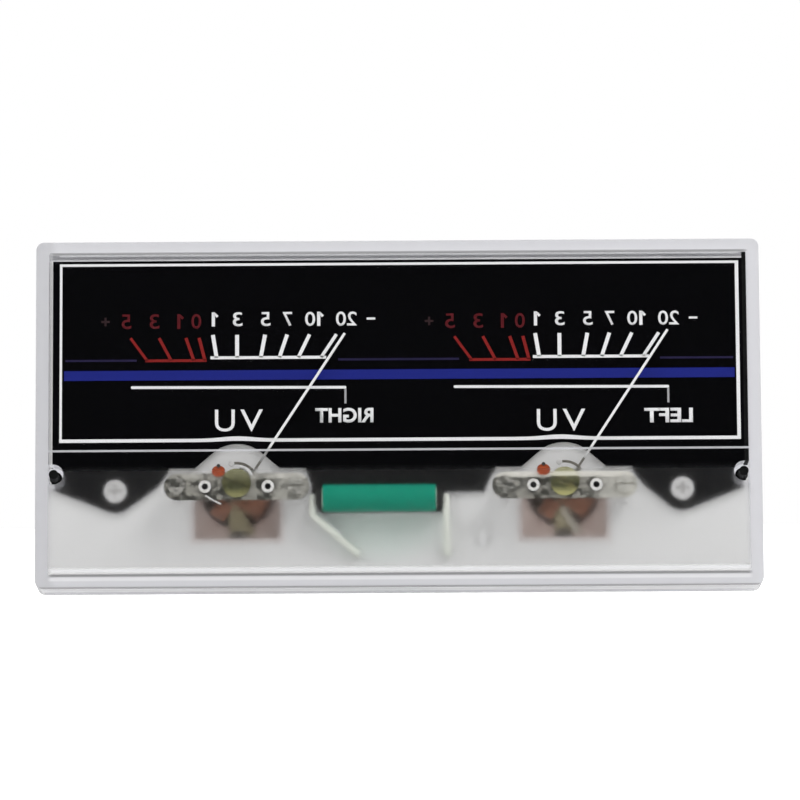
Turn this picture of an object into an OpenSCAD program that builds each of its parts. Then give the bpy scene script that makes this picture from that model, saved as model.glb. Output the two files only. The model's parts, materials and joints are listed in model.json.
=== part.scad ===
// Dual VU meter head: one clear box cover, one printed dial plate and two moving-coil
// movements with a lamp between them, on a white moulded base that a rear cover closes.
// X runs along the width, Z is up, and depth runs back from the front face along +Y.

/* [Case] */
// Width of the clear front cover
face_w = 120; // [118:0.5:150]
// Height of the clear front cover
face_h = 58; // [56:0.5:75]
// Depth of the clear cover, from its front face to the back of its rim
rim_d = 8.1; // [8:0.1:10]
// Depth from the front face to the rear face of the case
case_d = 30; // [29.5:0.5:45]
// Radius of the clear cover's outer corners
corner_r = 1.3; // [0.5:0.1:3]
// Thickness of the cover's side walls
side_wall = 2.1; // [1.6:0.1:2.4]
// Thickness of the cover's top wall
top_wall = 1.75; // [1.5:0.05:2.5]
// Thickness of the cover's bottom wall
bottom_wall = 2.1; // [1.5:0.1:3]
// Thickness of the front pane above the step line
pane_t = 1.8; // [1.2:0.1:1.9]
// How much thinner the pane is below the step line
pane_step = 0.4; // [0.2:0.1:0.8]
// Height of the step line above the bottom of the cover
step_z = 23; // [22:0.5:25]
// Height of the small ledges inside the cover's bottom and top walls
ledge_h = 1.2; // [0.6:0.1:1.4]
// Outer radius of the half-round boss on each side wall
boss_r = 1.65; // [1.4:0.05:2]
// Radius of the hole in that boss
boss_hole_r = 0.78; // [0.5:0.02:1]
// Height of those bosses above the bottom of the cover
boss_z = 19.1; // [18.5:0.1:20]

/* [Base] */
// How far the base's flange stays inside the cover's outline
flange_inset = 1.2; // [0.8:0.1:1.5]
// Thickness of the base's flange, which is also its front wall
wall_t = 1.6; // [1.2:0.1:2]
// How far the base's tub stays inside the cover's outline
tub_inset = 3.8; // [3:0.1:5]
// Wall thickness of the tub
tub_wall = 1.8; // [1.2:0.1:2.5]
// Thickness of the rear cover
rear_t = 2; // [1.5:0.1:2.6]
// Radius of the corner posts that take the rear cover's screws
post_r = 3; // [2.6:0.1:4]
// Thickness of the ribs that stiffen the tub
rib_t = 1.2; // [0.8:0.1:1.6]

/* [Dial] */
// Thickness of the dial plate
dial_t = 0.8; // [0.5:0.1:1]
// Distance between the two needle axes
pivot_pitch = 54.3; // [53.5:0.1:55.5]
// How far the two movements together stand right of the meter's middle
pivot_shift = 0.3; // [0:0.05:0.5]
// Height of the needle axes above the bottom of the cover
pivot_z = 17.6; // [17.4:0.1:18.5]
// Height of the plate's straight lower edge above the needle axes
plate_drop = 3.3; // [3:0.1:3.6]
// Radius of the arch over each hub
arch_r = 6.3; // [6:0.1:7]
// Height of the top of the arch above the needle axis
arch_top = 7.4; // [7:0.1:7.8]
// Half width of the arch's foot
arch_foot = 7.1; // [6.8:0.1:8]
// Half width of the straight edge beside each arch
shelf_half = 11.4; // [11.2:0.1:12]
// Distance between the two dial screws
dial_screw_pitch = 94.2; // [93.5:0.1:95.5]
// Radius of the plate's ear round each dial screw
ear_r = 3.5; // [3:0.1:4]
// Height of the lower edge of the middle tab above the bottom of the cover
tab_z = 13.3; // [12.8:0.1:13.6]

/* [Movement] */
// Length of the front bridge
bridge_l = 24; // [23.6:0.1:24.6]
// Width of the front bridge
bridge_w = 4.4; // [4.2:0.1:4.8]
// Thickness of both bridges
bridge_t = 0.8; // [0.6:0.05:1]
// Distance between the two screws of the front bridge
bridge_screw_pitch = 19.8; // [19.4:0.1:20.2]
// Distance between the two rivets of the front bridge
rivet_pitch = 10.4; // [9.8:0.1:11]
// Radius of the olive cap of the front jewel screw
cap_r = 2.4; // [2:0.1:2.8]
// Gap between the pane and the front bridge
bridge_gap = 1; // [0.95:0.05:1.2]
// Half length of the coil, from the axis to the outside of the winding
coil_half_l = 5.3; // [5:0.1:5.5]
// Half width of the coil
coil_half_w = 2.2; // [1.8:0.1:2.4]
// Thickness of the copper winding
winding_t = 1; // [0.6:0.1:1.2]
// Thickness of the coil former
former_t = 0.3; // [0.2:0.05:0.4]
// Radius of the core magnet
core_r = 3.4; // [3:0.1:3.6]
// Room between the rear bridge's screws and the rear cover, which sets the magnet's length
rear_room = 2.7; // [2.5:0.1:3]
// Half width of the square yoke round the magnet
yoke_half = 10.8; // [10.6:0.1:11]
// Half width of the base's window in front of the coil
window_half = 7; // [6.3:0.1:7.2]
// Height of that window's lower edge below the needle axis
window_drop = 8.4; // [7.8:0.1:9.3]
// Radius of the pivot tips
pivot_r = 0.3; // [0.2:0.02:0.4]

/* [Needle] */
// Length of the needle, from the axis to the tip
needle_l = 31.4; // [29:0.1:32.5]
// Width of the needle
needle_w = 0.4; // [0.35:0.05:0.7]
// Thickness of the needle
needle_t = 0.35; // [0.25:0.05:0.5]
// Angle of the resting needle, right of upright
rest_angle = 33.2; // [30:0.2:34]
// How far the left needle's line passes beside its axis
left_offset = 0.95; // [0.6:0.05:1]
// How far the right needle's line passes beside its axis
right_offset = 0.35; // [0.3:0.05:1]
// Length of the bare root between the axis and the white part
needle_root_l = 5.6; // [5:0.1:7]
// Gap between the back of the needle and the dial
needle_gap = 1.35; // [1.2:0.05:1.4]
// Radius of the balance weight on the tail
weight_r = 1.35; // [1:0.05:1.4]
// Length of the balance weight
weight_l = 2.8; // [2:0.1:3]

/* [Lamp] */
// Outer radius of the green sleeve
sleeve_r = 2.25; // [1.9:0.05:2.3]
// Length of the green sleeve
sleeve_l = 18.7; // [17:0.1:19]
// Wall thickness of the sleeve
sleeve_t = 0.5; // [0.3:0.05:0.7]
// Height of the lamp's axis above the bottom of the cover
lamp_z = 15.4; // [15.2:0.1:15.6]
// How far the lamp's middle stands left of the meter's middle
lamp_shift = 3.25; // [2.8:0.05:3.6]
// Outer radius of the lamp's insulated leads
lead_r = 0.6; // [0.4:0.05:0.65]

/* [Terminals] */
// Width of the solder tags
tag_w = 2.4; // [1.8:0.1:3]
// Thickness of the solder tags
tag_t = 0.5; // [0.4:0.05:0.8]
// How far the solder tags stand out behind the case
tag_out = 5; // [4:0.1:7]
// Height of the solder tags above the bottom of the cover
tag_z = 40; // [38:0.5:44]
// Distance between the two tags of a pair
tag_pitch = 12; // [10:0.5:14]

/* [Clearances] */
// Gap between a piece and the moulding that it drops into
fit_gap = 0.15; // [0.1:0.01:0.2]
// Radial gap of the needle pivots and of the levers
run_gap = 0.05; // [0.03:0.01:0.08]
// Radial gap of a screw or rivet in its hole
screw_gap = 0.05; // [0.03:0.01:0.08]
// Gap between moving and fixed pieces inside a movement
air_gap = 0.4; // [0.35:0.05:0.5]

/* [Hidden] */
$fn = 48;

left_x = pivot_shift - pivot_pitch / 2;
right_x = pivot_shift + pivot_pitch / 2;
cut = 1;                                   // how far a cutter runs past the face it cuts
touch_gap = 0.05;                          // gap between pieces that all but touch
total_d = case_d + tag_out;

// Case
dial_front = rim_d - dial_t;
wall_back = rim_d + wall_t;
pane_low = pane_t - pane_step;             // inside of the pane below the step line
tub_w = face_w - 2 * tub_inset;
tub_bottom = tub_inset;
tub_top = face_h - tub_inset;
rear_front = case_d - rear_t;
boss_out = 0.85;                           // from the side wall to the middle of its boss
boss_x = face_w / 2 - side_wall - boss_out;
boss_back = dial_front - 2 * fit_gap;
post_sink = 0.4;                           // how far a corner post runs into the walls
post_x = tub_w / 2 - tub_wall - post_r + post_sink;
post_low = tub_bottom + tub_wall + post_r - post_sink;
post_high = tub_top - tub_wall - post_r + post_sink;
rib_depth = 5;
rib_over_pivot = 13;
rib_z = pivot_z + rib_over_pivot;
rib_from_screw = 4;
peg_from_lamp = 7.8;
peg_z = 9.3;
peg_r = 0.9;
peg_h = 0.8;
rear_screw_r = 1.1;
rear_screw_l = 7;
rear_head_r = 2.2;
rear_head_h = 1.5;
rear_hole_gap = 0.25;

// Dial plate
dial_half_w = face_w / 2 - side_wall - 2 * fit_gap;
dial_top = face_h - top_wall - fit_gap;
shelf_z = pivot_z + plate_drop;
ear_z = 17;
dial_screw_r = 0.9;
dial_head_r = 1.9;
dial_head_h = 1.2;
dial_boss_r = 2.3;
dial_boss_h = 3.6;
dial_screw_l = 4.2;
dial_hole_gap = 0.2;
tab_slope = 0.9;                           // step of the middle tab's sloping corners
tab_side = 1.5;                            // how far the tab runs past the lamp's right end
arch_centre = arch_top - arch_r;
arch_angle = 37;                           // where the arch turns into its straight foot

// Front bridge and what it holds
bridge_front = pane_low + bridge_gap;
bridge_back = bridge_front + bridge_t;
bridge_z = pivot_z - 0.5;
pillar_r = 1.7;
bridge_screw_r = 0.7;
bridge_head_r = 1.45;
bridge_head_h = 0.7;
bridge_screw_l = 4.4;
bridge_slot_l = 3;
bridge_slot_d = 0.6;
bridge_slot_w = 0.4;
screw_end = 0.4;                           // room left beyond the tip of a screw
rivet_z = pivot_z - 0.65;
rivet_r = 0.75;
rivet_hole_r = 0.5;
rivet_flange_r = 1.05;
rivet_head_h = bridge_gap - touch_gap;
rivet_tail_h = 0.25;
cap_h = 0.6;
left_tab_x = cap_r + 0.55;                 // left of the needle axis
right_tab_x = cap_r + 1.1;
spring_tab_up = 0.3;                       // from the bridge's top edge to the tab's middle
spring_tab_l = 2.2;
spring_tab_r = 0.88;
spring_tab_t = 0.35;
jewel_r = 1.2;
jewel_out = 0.75;                          // how far a jewel screw stands out of its bridge
jewel_back = bridge_back + jewel_out;
jewel_depth = 0.65;
pivot_end = 0.1;                           // gap between a pivot's tip and its jewel

// Lever and hairsprings
lever_t = 0.3;
lever_front = bridge_back + 0.08;
lever_ring_r = 2;
lever_arc_r = 3.55;
lever_arc_w = 0.4;
lever_arc_from = -46;                      // right of upright
lever_arc_to = 14;                         // left of upright
spring_w = 0.35;
spring_t = 0.12;
spring_in = 1.05;
spring_out = 2.9;
spring_turns = 4;
spring_gap = 0.15;
front_spring_d = jewel_back + spring_gap;

// Moving system
needle_back = dial_front - needle_gap;
needle_front = needle_back - needle_t;
hub_r = 1.5;
hub_over = 0.2;                            // how far the hub stands out before the needle
hub_front = needle_front - hub_over;
hub_back = needle_back + 1.5 * hub_over;
staff_r = 0.45;
collet_r = 0.85;
tail_from = 3.3;
coil_front = wall_back + air_gap;
former_front = coil_front + winding_t;
bracket_t = 0.7;
bracket_front = former_front + former_t + air_gap;
core_front = bracket_front + bracket_t;
rear_bridge_back = rear_front - rear_room - bridge_head_h;
rear_bridge_front = rear_bridge_back - bridge_t;
rear_jewel_front = rear_bridge_front - jewel_out;
rear_spring_d = rear_jewel_front - 2.5 * spring_gap - spring_w;
coil_back = rear_spring_d - 7 * spring_gap;
former_back = coil_back - winding_t;
core_back = former_back - former_t - 2 * air_gap;
coil_corner_r = sqrt(coil_half_l * coil_half_l + coil_half_w * coil_half_w);
staff_front = jewel_back - jewel_depth + pivot_end;
staff_back = rear_jewel_front + jewel_depth - pivot_end;

// Magnet system
yoke_in = coil_corner_r + air_gap;
standoff_r = 1.7;
yoke_screw_r = 0.8;
yoke_head_r = 1.6;
yoke_head_h = 1;
yoke_screw_at = yoke_half - standoff_r;    // across and up from the axis, at each corner
bracket_w = 2.8;
bracket_screw_at = yoke_in + 1.8;          // above and below the axis
bracket_half_l = bracket_screw_at + bracket_w / 2;
bracket_screw_in = 2.4;
window_top = 1.6;
yoke_screw_in = 2.6;
rear_screw_in = 3;
corners = [[-1, -1], [1, -1], [-1, 1], [1, 1]];

// Rear bridge
rear_bridge_w = 4.4;
spacer_r = 1.3;
spacer_at = (yoke_in + yoke_half) / 2 - 0.4;
rear_jewel_head_h = 0.7;

// Lamp
lamp_d = dial_front - 2 * touch_gap - sleeve_r;
lamp_left = -lamp_shift - sleeve_l / 2;
lamp_right = -lamp_shift + sleeve_l / 2;
bulb_gap = 0.02;
bulb_r = sleeve_r - sleeve_t - bulb_gap;
bulb_over = 0.15;                          // how far the bulb stands out of its sleeve
holder_t = 0.9;
holder_h = 2.6;
wire_r = 0.3;
lead_gap = 0.3;                            // between the lamp's leads and what they pass
lead_floor = tub_bottom + tub_wall + lead_r + lead_gap;
left_hole_in = 5.6;                        // from the lamp's left end to its lead's hole
right_hole_out = 1.9;                      // from the lamp's right end to its lead's hole
left_hole = [lamp_left + left_hole_in, lead_floor];
right_hole = [lamp_right + right_hole_out, lead_floor];

// Tags
tag_in = 3.6;                              // how far a tag reaches inside the rear cover
tag_hole_r = 0.6;
pad_h = 1.2;
pad_r = 3.2;
tag_pairs = [left_x, 0, right_x];
lead_d = rear_front - tag_in + 1.2;        // depth at which the lamp's leads reach the tags

// ---- helpers: everything below is drawn by depth behind the front face ----

// Moves the origin from the front face to the middle of the whole depth
module placed() {
    translate([0, -total_d / 2, 0]) children();
}

// Extrudes an outline drawn in width and height from one depth to another
module slab(from, to) {
    translate([0, to, 0]) rotate([90, 0, 0]) linear_extrude(to - from) children();
}

// Cylinder along the depth
module rod(x, z, from, to, r) {
    translate([x, to, z]) rotate([90, 0, 0]) cylinder(r = r, h = to - from);
}

// Rounded rectangle from the height low to the height high
module rounded(w, low, high, r) {
    translate([-w / 2 + r, low]) square([w - 2 * r, high - low]);
    translate([-w / 2, low + r]) square([w, high - low - 2 * r]);
    for (x = [-w / 2 + r, w / 2 - r], z = [low + r, high - r]) {
        translate([x, z]) circle(r);
    }
}

// Strip with round ends, centred
module strip(length, width) {
    square([length - width, width], center = true);
    for (side = [-1, 1]) {
        translate([side * (length - width) / 2, 0]) circle(width / 2);
    }
}

// Turns its children from upright to the resting needle's angle, about one needle axis
module at_rest(x) {
    translate([x, 0, pivot_z]) rotate([0, rest_angle, 0]) children();
}

// How far beside the axis at x its needle's line passes
function needle_offset(x) = x < 0 ? left_offset : right_offset;

// ---- case ----

module front_cover() {
    inner_w = face_w - 2 * side_wall;
    color([0.85, 0.87, 0.9, 0.35]) placed() {
        difference() {
            slab(0, rim_d) rounded(face_w, 0, face_h, corner_r);
            slab(pane_t, rim_d + cut) translate([-inner_w / 2, bottom_wall])
                square([inner_w, face_h - top_wall - bottom_wall]);
            slab(pane_low, pane_t + cut)
                translate([-inner_w / 2, bottom_wall + ledge_h])
                square([inner_w, step_z - bottom_wall - ledge_h]);
        }
        for (side = [-1, 1]) side_boss(side);
    }
}

// Half-round boss with a hole, grown out of one side wall
module side_boss(side) {
    inner_x = side * (face_w / 2 - side_wall);
    difference() {
        union() {
            rod(side * boss_x, boss_z, pane_low / 2, boss_back, boss_r);
            slab(pane_low / 2, boss_back)
                translate([min(side * boss_x, inner_x), boss_z - boss_r])
                square([abs(inner_x - side * boss_x), 2 * boss_r]);
        }
        rod(side * boss_x, boss_z, pane_low, boss_back + cut, boss_hole_r);
        slab(pane_low - cut, boss_back + cut)
            translate([side > 0 ? inner_x : inner_x - 2 * boss_r, boss_z - 2 * boss_r])
            square([2 * boss_r, 4 * boss_r]);
    }
}

// Opening in the base behind one hub: coil, yoke and strip show through it below the bridge
module movement_window(x) {
    slab(rim_d - cut, wall_back + cut) translate([x, 0])
        rounded(2 * window_half, pivot_z - window_drop, pivot_z + window_top, corner_r / 2);
}

module base_body() {
    color([0.9, 0.9, 0.88]) placed() difference() {
        union() {
            slab(rim_d, wall_back) rounded(face_w - 2 * flange_inset, flange_inset,
                face_h - flange_inset, corner_r);
            difference() {
                slab(rim_d, case_d) rounded(tub_w, tub_bottom, tub_top, corner_r);
                slab(wall_back, case_d + cut) rounded(tub_w - 2 * tub_wall,
                    tub_bottom + tub_wall, tub_top - tub_wall, corner_r / 2);
            }
            for (x = [-post_x, post_x], z = [post_low, post_high]) {
                rod(x, z, rim_d, rear_front, post_r);
            }
            for (side = [-1, 1]) {
                rod(side * dial_screw_pitch / 2, ear_z, rim_d,
                    wall_back + dial_boss_h, dial_boss_r);
            }
            for (x = [left_x, right_x]) movement_seats(x);
            tub_ribs();
            rod(lamp_right + peg_from_lamp, peg_z, rim_d - peg_h, wall_back, peg_r);
        }
        for (x = [-post_x, post_x], z = [post_low, post_high]) {
            rod(x, z, rear_front - rear_screw_l, rear_front + cut,
                rear_screw_r + screw_gap);
        }
        for (side = [-1, 1]) {
            rod(side * dial_screw_pitch / 2, ear_z, rim_d - cut,
                rim_d + dial_screw_l, dial_screw_r + screw_gap);
        }
        for (x = [left_x, right_x]) {
            movement_window(x);
            for (side = [-1, 1]) {
                rod(x + side * bridge_screw_pitch / 2, bridge_z, bridge_back - cut,
                    bridge_back + bridge_screw_l, bridge_screw_r + screw_gap);
            }
            for (corner = corners) {
                rod(x + corner[0] * yoke_screw_at, pivot_z + corner[1] * yoke_screw_at,
                    core_front - yoke_screw_in, core_front + cut, yoke_screw_r + screw_gap);
            }
        }
        for (hole = [left_hole, right_hole]) {
            rod(hole[0], hole[1], rim_d - cut, wall_back + cut, lead_r + screw_gap);
        }
    }
}

// Pillars in front of the base's wall and standoffs behind it, for one movement
module movement_seats(x) {
    for (side = [-1, 1]) {
        rod(x + side * bridge_screw_pitch / 2, bridge_z, bridge_back, wall_back, pillar_r);
    }
    for (corner = corners) {
        rod(x + corner[0] * yoke_screw_at, pivot_z + corner[1] * yoke_screw_at, rim_d,
            core_front, standoff_r);
    }
}

// One long rib over the movements, and upright ribs from it to the top wall
module tub_ribs() {
    side = dial_screw_pitch / 2 - rib_from_screw;
    slab(rim_d, wall_back + rib_depth) {
        translate([-tub_w / 2 + tub_wall / 2, rib_z]) square([tub_w - tub_wall, rib_t]);
        for (x = [-side, 0, side]) {
            translate([x - rib_t / 2, rib_z]) square([rib_t, tub_top - tub_wall / 2 - rib_z]);
        }
    }
}

module rear_cover() {
    inset = tub_wall + fit_gap;
    color([0.88, 0.88, 0.86]) placed() difference() {
        union() {
            slab(rear_front, case_d) rounded(tub_w - 2 * inset, tub_bottom + inset,
                tub_top - inset, corner_r / 2);
            for (x = tag_pairs) tag_pad(x);
        }
        for (x = [-post_x, post_x], z = [post_low, post_high]) {
            rod(x, z, rear_front - cut, case_d + cut, rear_screw_r + rear_hole_gap);
        }
        for (x = tag_pairs, side = [-1, 1]) tag_slot(x + side * tag_pitch / 2);
    }
}

// Raised pad round one pair of solder tags
module tag_pad(x) {
    slab(case_d - cut, case_d + pad_h) translate([x, tag_z])
        strip(tag_pitch + 2 * pad_r, 2 * pad_r);
}

// Slot that one solder tag stands in
module tag_slot(x) {
    slab(rear_front - cut, case_d + pad_h + cut) translate([x, tag_z])
        square([tag_w + 2 * touch_gap, tag_t + 2 * touch_gap], center = true);
}

module rear_cover_screws() {
    color("silver") placed() for (x = [-post_x, post_x], z = [post_low, post_high]) {
        difference() {
            union() {
                rod(x, z, rear_front - rear_screw_l + screw_end, case_d, rear_screw_r);
                rod(x, z, case_d, case_d + rear_head_h, rear_head_r);
            }
            cross_slot(x, z, case_d + rear_head_h, 1);
        }
    }
}

// Cross recess in a screw head that faces the rear (dir 1) or the front (dir -1)
module cross_slot(x, z, face, dir) {
    depth = 0.6;
    for (turn = [0, 90]) {
        translate([x, face, z]) rotate([0, turn, 0])
            cube([2, 2 * depth, 0.45], center = true);
    }
}

// ---- dial ----

// Cut-out of the dial plate over one hub: an arch that runs out into straight slopes
module hub_cutout(x) {
    side = arch_r * sin(arch_angle);
    top = arch_centre + arch_r * cos(arch_angle);
    translate([x, pivot_z]) {
        translate([0, arch_centre]) circle(arch_r);
        polygon([[-arch_foot, plate_drop], [-side, top], [side, top],
            [arch_foot, plate_drop], [arch_foot, -cut], [-arch_foot, -cut]]);
    }
}

// Ear of the plate round one dial screw, sloping up to the plate's side
module dial_ear(side) {
    x = dial_screw_pitch / 2;
    inner = abs(side < 0 ? left_x : right_x) + shelf_half;
    mirror([side < 0 ? 1 : 0, 0]) {
        translate([x, ear_z]) circle(ear_r);
        polygon([[inner, shelf_z + cut], [inner, shelf_z - 0.4], [inner + 0.5, shelf_z - 1.4],
            [inner + 1.9, pivot_z + 0.1], [x - ear_r * cos(50), ear_z - ear_r * sin(50)],
            [x + ear_r * cos(65), ear_z - ear_r * sin(65)], [dial_half_w, pivot_z - 0.2],
            [dial_half_w, shelf_z + cut]]);
    }
}

// Middle tab between the movements, with the step beside the lamp
module middle_tab() {
    from = left_x + shelf_half;
    to = right_x - shelf_half;
    polygon([[from, shelf_z + cut], [from, shelf_z - tab_slope / 2],
        [from + tab_slope, pivot_z + tab_slope / 2],
        [from + tab_slope, tab_z], [lamp_right + tab_side, tab_z],
        [lamp_right + tab_side, pivot_z - tab_slope],
        [to - 2 * tab_slope, pivot_z - tab_slope], [to - tab_slope, pivot_z + 1.5 * tab_slope],
        [to, shelf_z - tab_slope / 2],
        [to, shelf_z + cut]]);
}

module dial_plate() {
    color([0.03, 0.03, 0.05]) placed() difference() {
        slab(dial_front, rim_d) difference() {
            union() {
                translate([-dial_half_w, shelf_z])
                    square([2 * dial_half_w, dial_top - shelf_z]);
                for (side = [-1, 1]) dial_ear(side);
                middle_tab();
            }
            for (x = [left_x, right_x]) hub_cutout(x);
        }
        for (side = [-1, 1]) {
            rod(side * dial_screw_pitch / 2, ear_z, dial_front - cut, rim_d + cut,
                dial_screw_r + dial_hole_gap);
        }
    }
}

module dial_screws() {
    color([0.8, 0.8, 0.78]) placed() for (side = [-1, 1]) {
        x = side * dial_screw_pitch / 2;
        difference() {
            union() {
                rod(x, ear_z, dial_front, rim_d + dial_screw_l - screw_end, dial_screw_r);
                rod(x, ear_z, dial_front - dial_head_h, dial_front, dial_head_r);
            }
            cross_slot(x, ear_z, dial_front - dial_head_h, -1);
        }
    }
}

// ---- lamp ----

module lamp_bulb() {
    color([0.9, 0.95, 0.9, 0.6]) placed() translate([lamp_left - bulb_over, lamp_d, lamp_z])
        rotate([0, 90, 0]) cylinder(r = bulb_r, h = sleeve_l + 2 * bulb_over);
}

module lamp_sleeve() {
    color([0, 0.53, 0.42]) placed() translate([lamp_left, lamp_d, lamp_z])
        rotate([0, 90, 0]) difference() {
            cylinder(r = sleeve_r, h = sleeve_l);
            translate([0, 0, -cut]) cylinder(r = sleeve_r - sleeve_t, h = sleeve_l + 2 * cut);
        }
}

// Cups that hold the bulb's two ends, standing on the dial plate's tab
module lamp_holders() {
    color([0.2, 0.2, 0.2]) placed() for (side = [-1, 1]) {
        end = side < 0 ? lamp_left - bulb_over : lamp_right + bulb_over;
        from = side < 0 ? end - holder_t : end;
        difference() {
            translate([from, lamp_d - holder_h / 2, lamp_z - holder_h / 2])
                cube([holder_t, dial_front - lamp_d + holder_h / 2, holder_h]);
            translate([from - cut, lamp_d, lamp_z]) rotate([0, 90, 0])
                cylinder(r = wire_r + screw_gap, h = holder_t + 2 * cut);
        }
    }
}

// Where the line from q along d meets the plane through p with the normal n
function meet(q, d, p, n) = q + d * (((p - q) * n) / (d * n));

// Rings of a wire from its point i on: each is the last one, slid along to the next mitre
function wire_rings(points, i, ring) = i == len(points) ? [] : let (
    along = points[i] - points[i - 1],
    next = i < len(points) - 1 ? points[i + 1] - points[i] : along,
    mitre = along / norm(along) + next / norm(next),
    slid = [for (q = ring) meet(q, along, points[i], mitre)])
    concat([slid], wire_rings(points, i + 1, slid));

// Wire along a list of points, whose first run goes straight down
module wire(points, r) {
    sides = 12;
    first = [for (i = [0 : sides - 1])
        points[0] + r * [cos(360 * i / sides), sin(360 * i / sides), 0]];
    rings = concat([first], wire_rings(points, 1, first));
    last = len(rings) - 1;
    polyhedron([for (ring = rings, q = ring) q], concat(
        [[for (i = [sides - 1 : -1 : 0]) i]],
        [for (k = [0 : last - 1], i = [0 : sides - 1]) let (j = (i + 1) % sides)
            [k * sides + i, k * sides + j, (k + 1) * sides + j, (k + 1) * sides + i]],
        [[for (i = [0 : sides - 1]) last * sides + i]]));
}

// One lead of the lamp: down past the plate's tab, in at its hole and up to its tag
module lamp_lead(end_x, front, below_tab, hole, tag_x) {
    wire([[end_x, lamp_d, lamp_z + lead_r], [end_x, lamp_d, below_tab],
        [hole[0], front, hole[1]], [hole[0], lead_d, hole[1]], [tag_x, lead_d, hole[1]],
        [tag_x, lead_d, tag_z - tag_t / 2 - touch_gap]], lead_r);
}

module lamp_leads() {
    holder_out = bulb_over + holder_t + lead_r + touch_gap;
    front = rim_d - lead_r - lead_gap;
    below_tab = tab_z - 2 * lead_gap;
    color([0.92, 0.93, 0.88]) placed() {
        lamp_lead(lamp_left - holder_out, front, below_tab, left_hole, -tag_pitch / 2);
        lamp_lead(lamp_right + holder_out, front, below_tab, right_hole, tag_pitch / 2);
    }
}

// ---- terminals ----

module solder_tag(x) {
    difference() {
        translate([x - tag_w / 2, rear_front - tag_in, tag_z - tag_t / 2])
            cube([tag_w, tag_in + rear_t + tag_out, tag_t]);
        translate([x, case_d + tag_out - 1.6, tag_z - tag_t])
            cylinder(r = tag_hole_r, h = 2 * tag_t);
    }
}

module lamp_tags() {
    color([0.78, 0.76, 0.7]) placed()
        for (side = [-1, 1]) solder_tag(side * tag_pitch / 2);
}

module movement_tags() {
    color([0.78, 0.76, 0.7]) placed()
        for (x = [left_x, right_x], side = [-1, 1]) solder_tag(x + side * tag_pitch / 2);
}

// ---- front bridge group ----

module front_bridge(x) {
    color([0.62, 0.6, 0.55]) placed() difference() {
        slab(bridge_front, bridge_back) translate([x, bridge_z]) strip(bridge_l, bridge_w);
        rod(x, pivot_z, bridge_front - cut, bridge_back + cut, jewel_r + screw_gap);
        for (side = [-1, 1]) {
            rod(x + side * bridge_screw_pitch / 2, bridge_z, bridge_front - cut,
                bridge_back + cut, bridge_screw_r + screw_gap);
            rod(x + side * rivet_pitch / 2, rivet_z, bridge_front - cut,
                bridge_back + cut, rivet_r + screw_gap);
        }
    }
}

module bridge_screws() {
    color([0.75, 0.74, 0.68]) placed() for (x = [left_x, right_x], side = [-1, 1]) {
        at = x + side * bridge_screw_pitch / 2;
        difference() {
            union() {
                rod(at, bridge_z, bridge_front, bridge_back + bridge_screw_l - screw_end,
                    bridge_screw_r);
                rod(at, bridge_z, bridge_front - bridge_head_h, bridge_front,
                    bridge_head_r);
            }
            translate([at, bridge_front - bridge_head_h, bridge_z])
                cube([bridge_slot_l, bridge_slot_d, bridge_slot_w], center = true);
        }
    }
}

module bridge_rivets() {
    color([0.85, 0.85, 0.82]) placed() for (x = [left_x, right_x], side = [-1, 1]) {
        at = x + side * rivet_pitch / 2;
        difference() {
            union() {
                rod(at, rivet_z, bridge_front - rivet_head_h, bridge_front, rivet_flange_r);
                rod(at, rivet_z, bridge_front, bridge_back + rivet_tail_h, rivet_r);
                rod(at, rivet_z, bridge_back, bridge_back + rivet_tail_h, rivet_flange_r);
            }
            rod(at, rivet_z, bridge_front - rivet_head_h - cut, bridge_back, rivet_hole_r);
        }
    }
}

// Copper tab of each front spring, folded over the top edge of the front bridge
module spring_tabs() {
    edge = bridge_z + bridge_w / 2;
    color([0.72, 0.35, 0.16]) placed() for (x = [left_x - left_tab_x, right_x - right_tab_x]) {
        slab(bridge_front - spring_tab_t, bridge_front)
            translate([x, edge + spring_tab_up]) strip(spring_tab_l, 2 * spring_tab_r);
        slab(bridge_front - spring_tab_t, bridge_back)
            translate([x - spring_tab_r, edge]) square([2 * spring_tab_r, spring_tab_t]);
    }
}

module front_jewel_screw(x) {
    color([0.42, 0.43, 0.2]) placed() difference() {
        union() {
            rod(x, pivot_z, bridge_front - cap_h, bridge_front, cap_r);
            rod(x, pivot_z, bridge_front, jewel_back, jewel_r);
        }
        rod(x, pivot_z, jewel_back - jewel_depth, jewel_back + cut, pivot_r + run_gap);
        translate([x, bridge_front - cap_h, pivot_z]) rotate([0, 20, 0])
            cube([2 * cap_r + 1, 0.5, 0.5], center = true);
    }
}

// Points of an arc with the given radius, between two angles left of upright
function fan(r, from, to) = [for (i = [0 : 12])
    let (a = from + (to - from) * i / 12) [-r * sin(a), r * cos(a)]];

module zero_lever(x) {
    arc_out = lever_arc_r + lever_arc_w / 2;
    arc_in = lever_arc_r - lever_arc_w / 2;
    back = lever_front + lever_t;
    color([0.35, 0.34, 0.3]) placed() difference() {
        union() {
            slab(lever_front, back) translate([x, pivot_z]) {
                circle(lever_ring_r);
                polygon(concat(fan(arc_out, lever_arc_from, lever_arc_to),
                    [for (i = [12 : -1 : 0]) fan(arc_in, lever_arc_from, lever_arc_to)[i]]));
                rotate(lever_arc_from) translate([-0.3, lever_ring_r - 0.3])
                    square([0.6, arc_in - lever_ring_r + 0.6]);
            }
            rod(x - lever_arc_r * sin(lever_arc_to), pivot_z + lever_arc_r * cos(lever_arc_to),
                lever_front, back, 0.45);
        }
        rod(x, pivot_z, lever_front - cut, back + cut, jewel_r + run_gap);
    }
}

// ---- hairsprings ----

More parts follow.
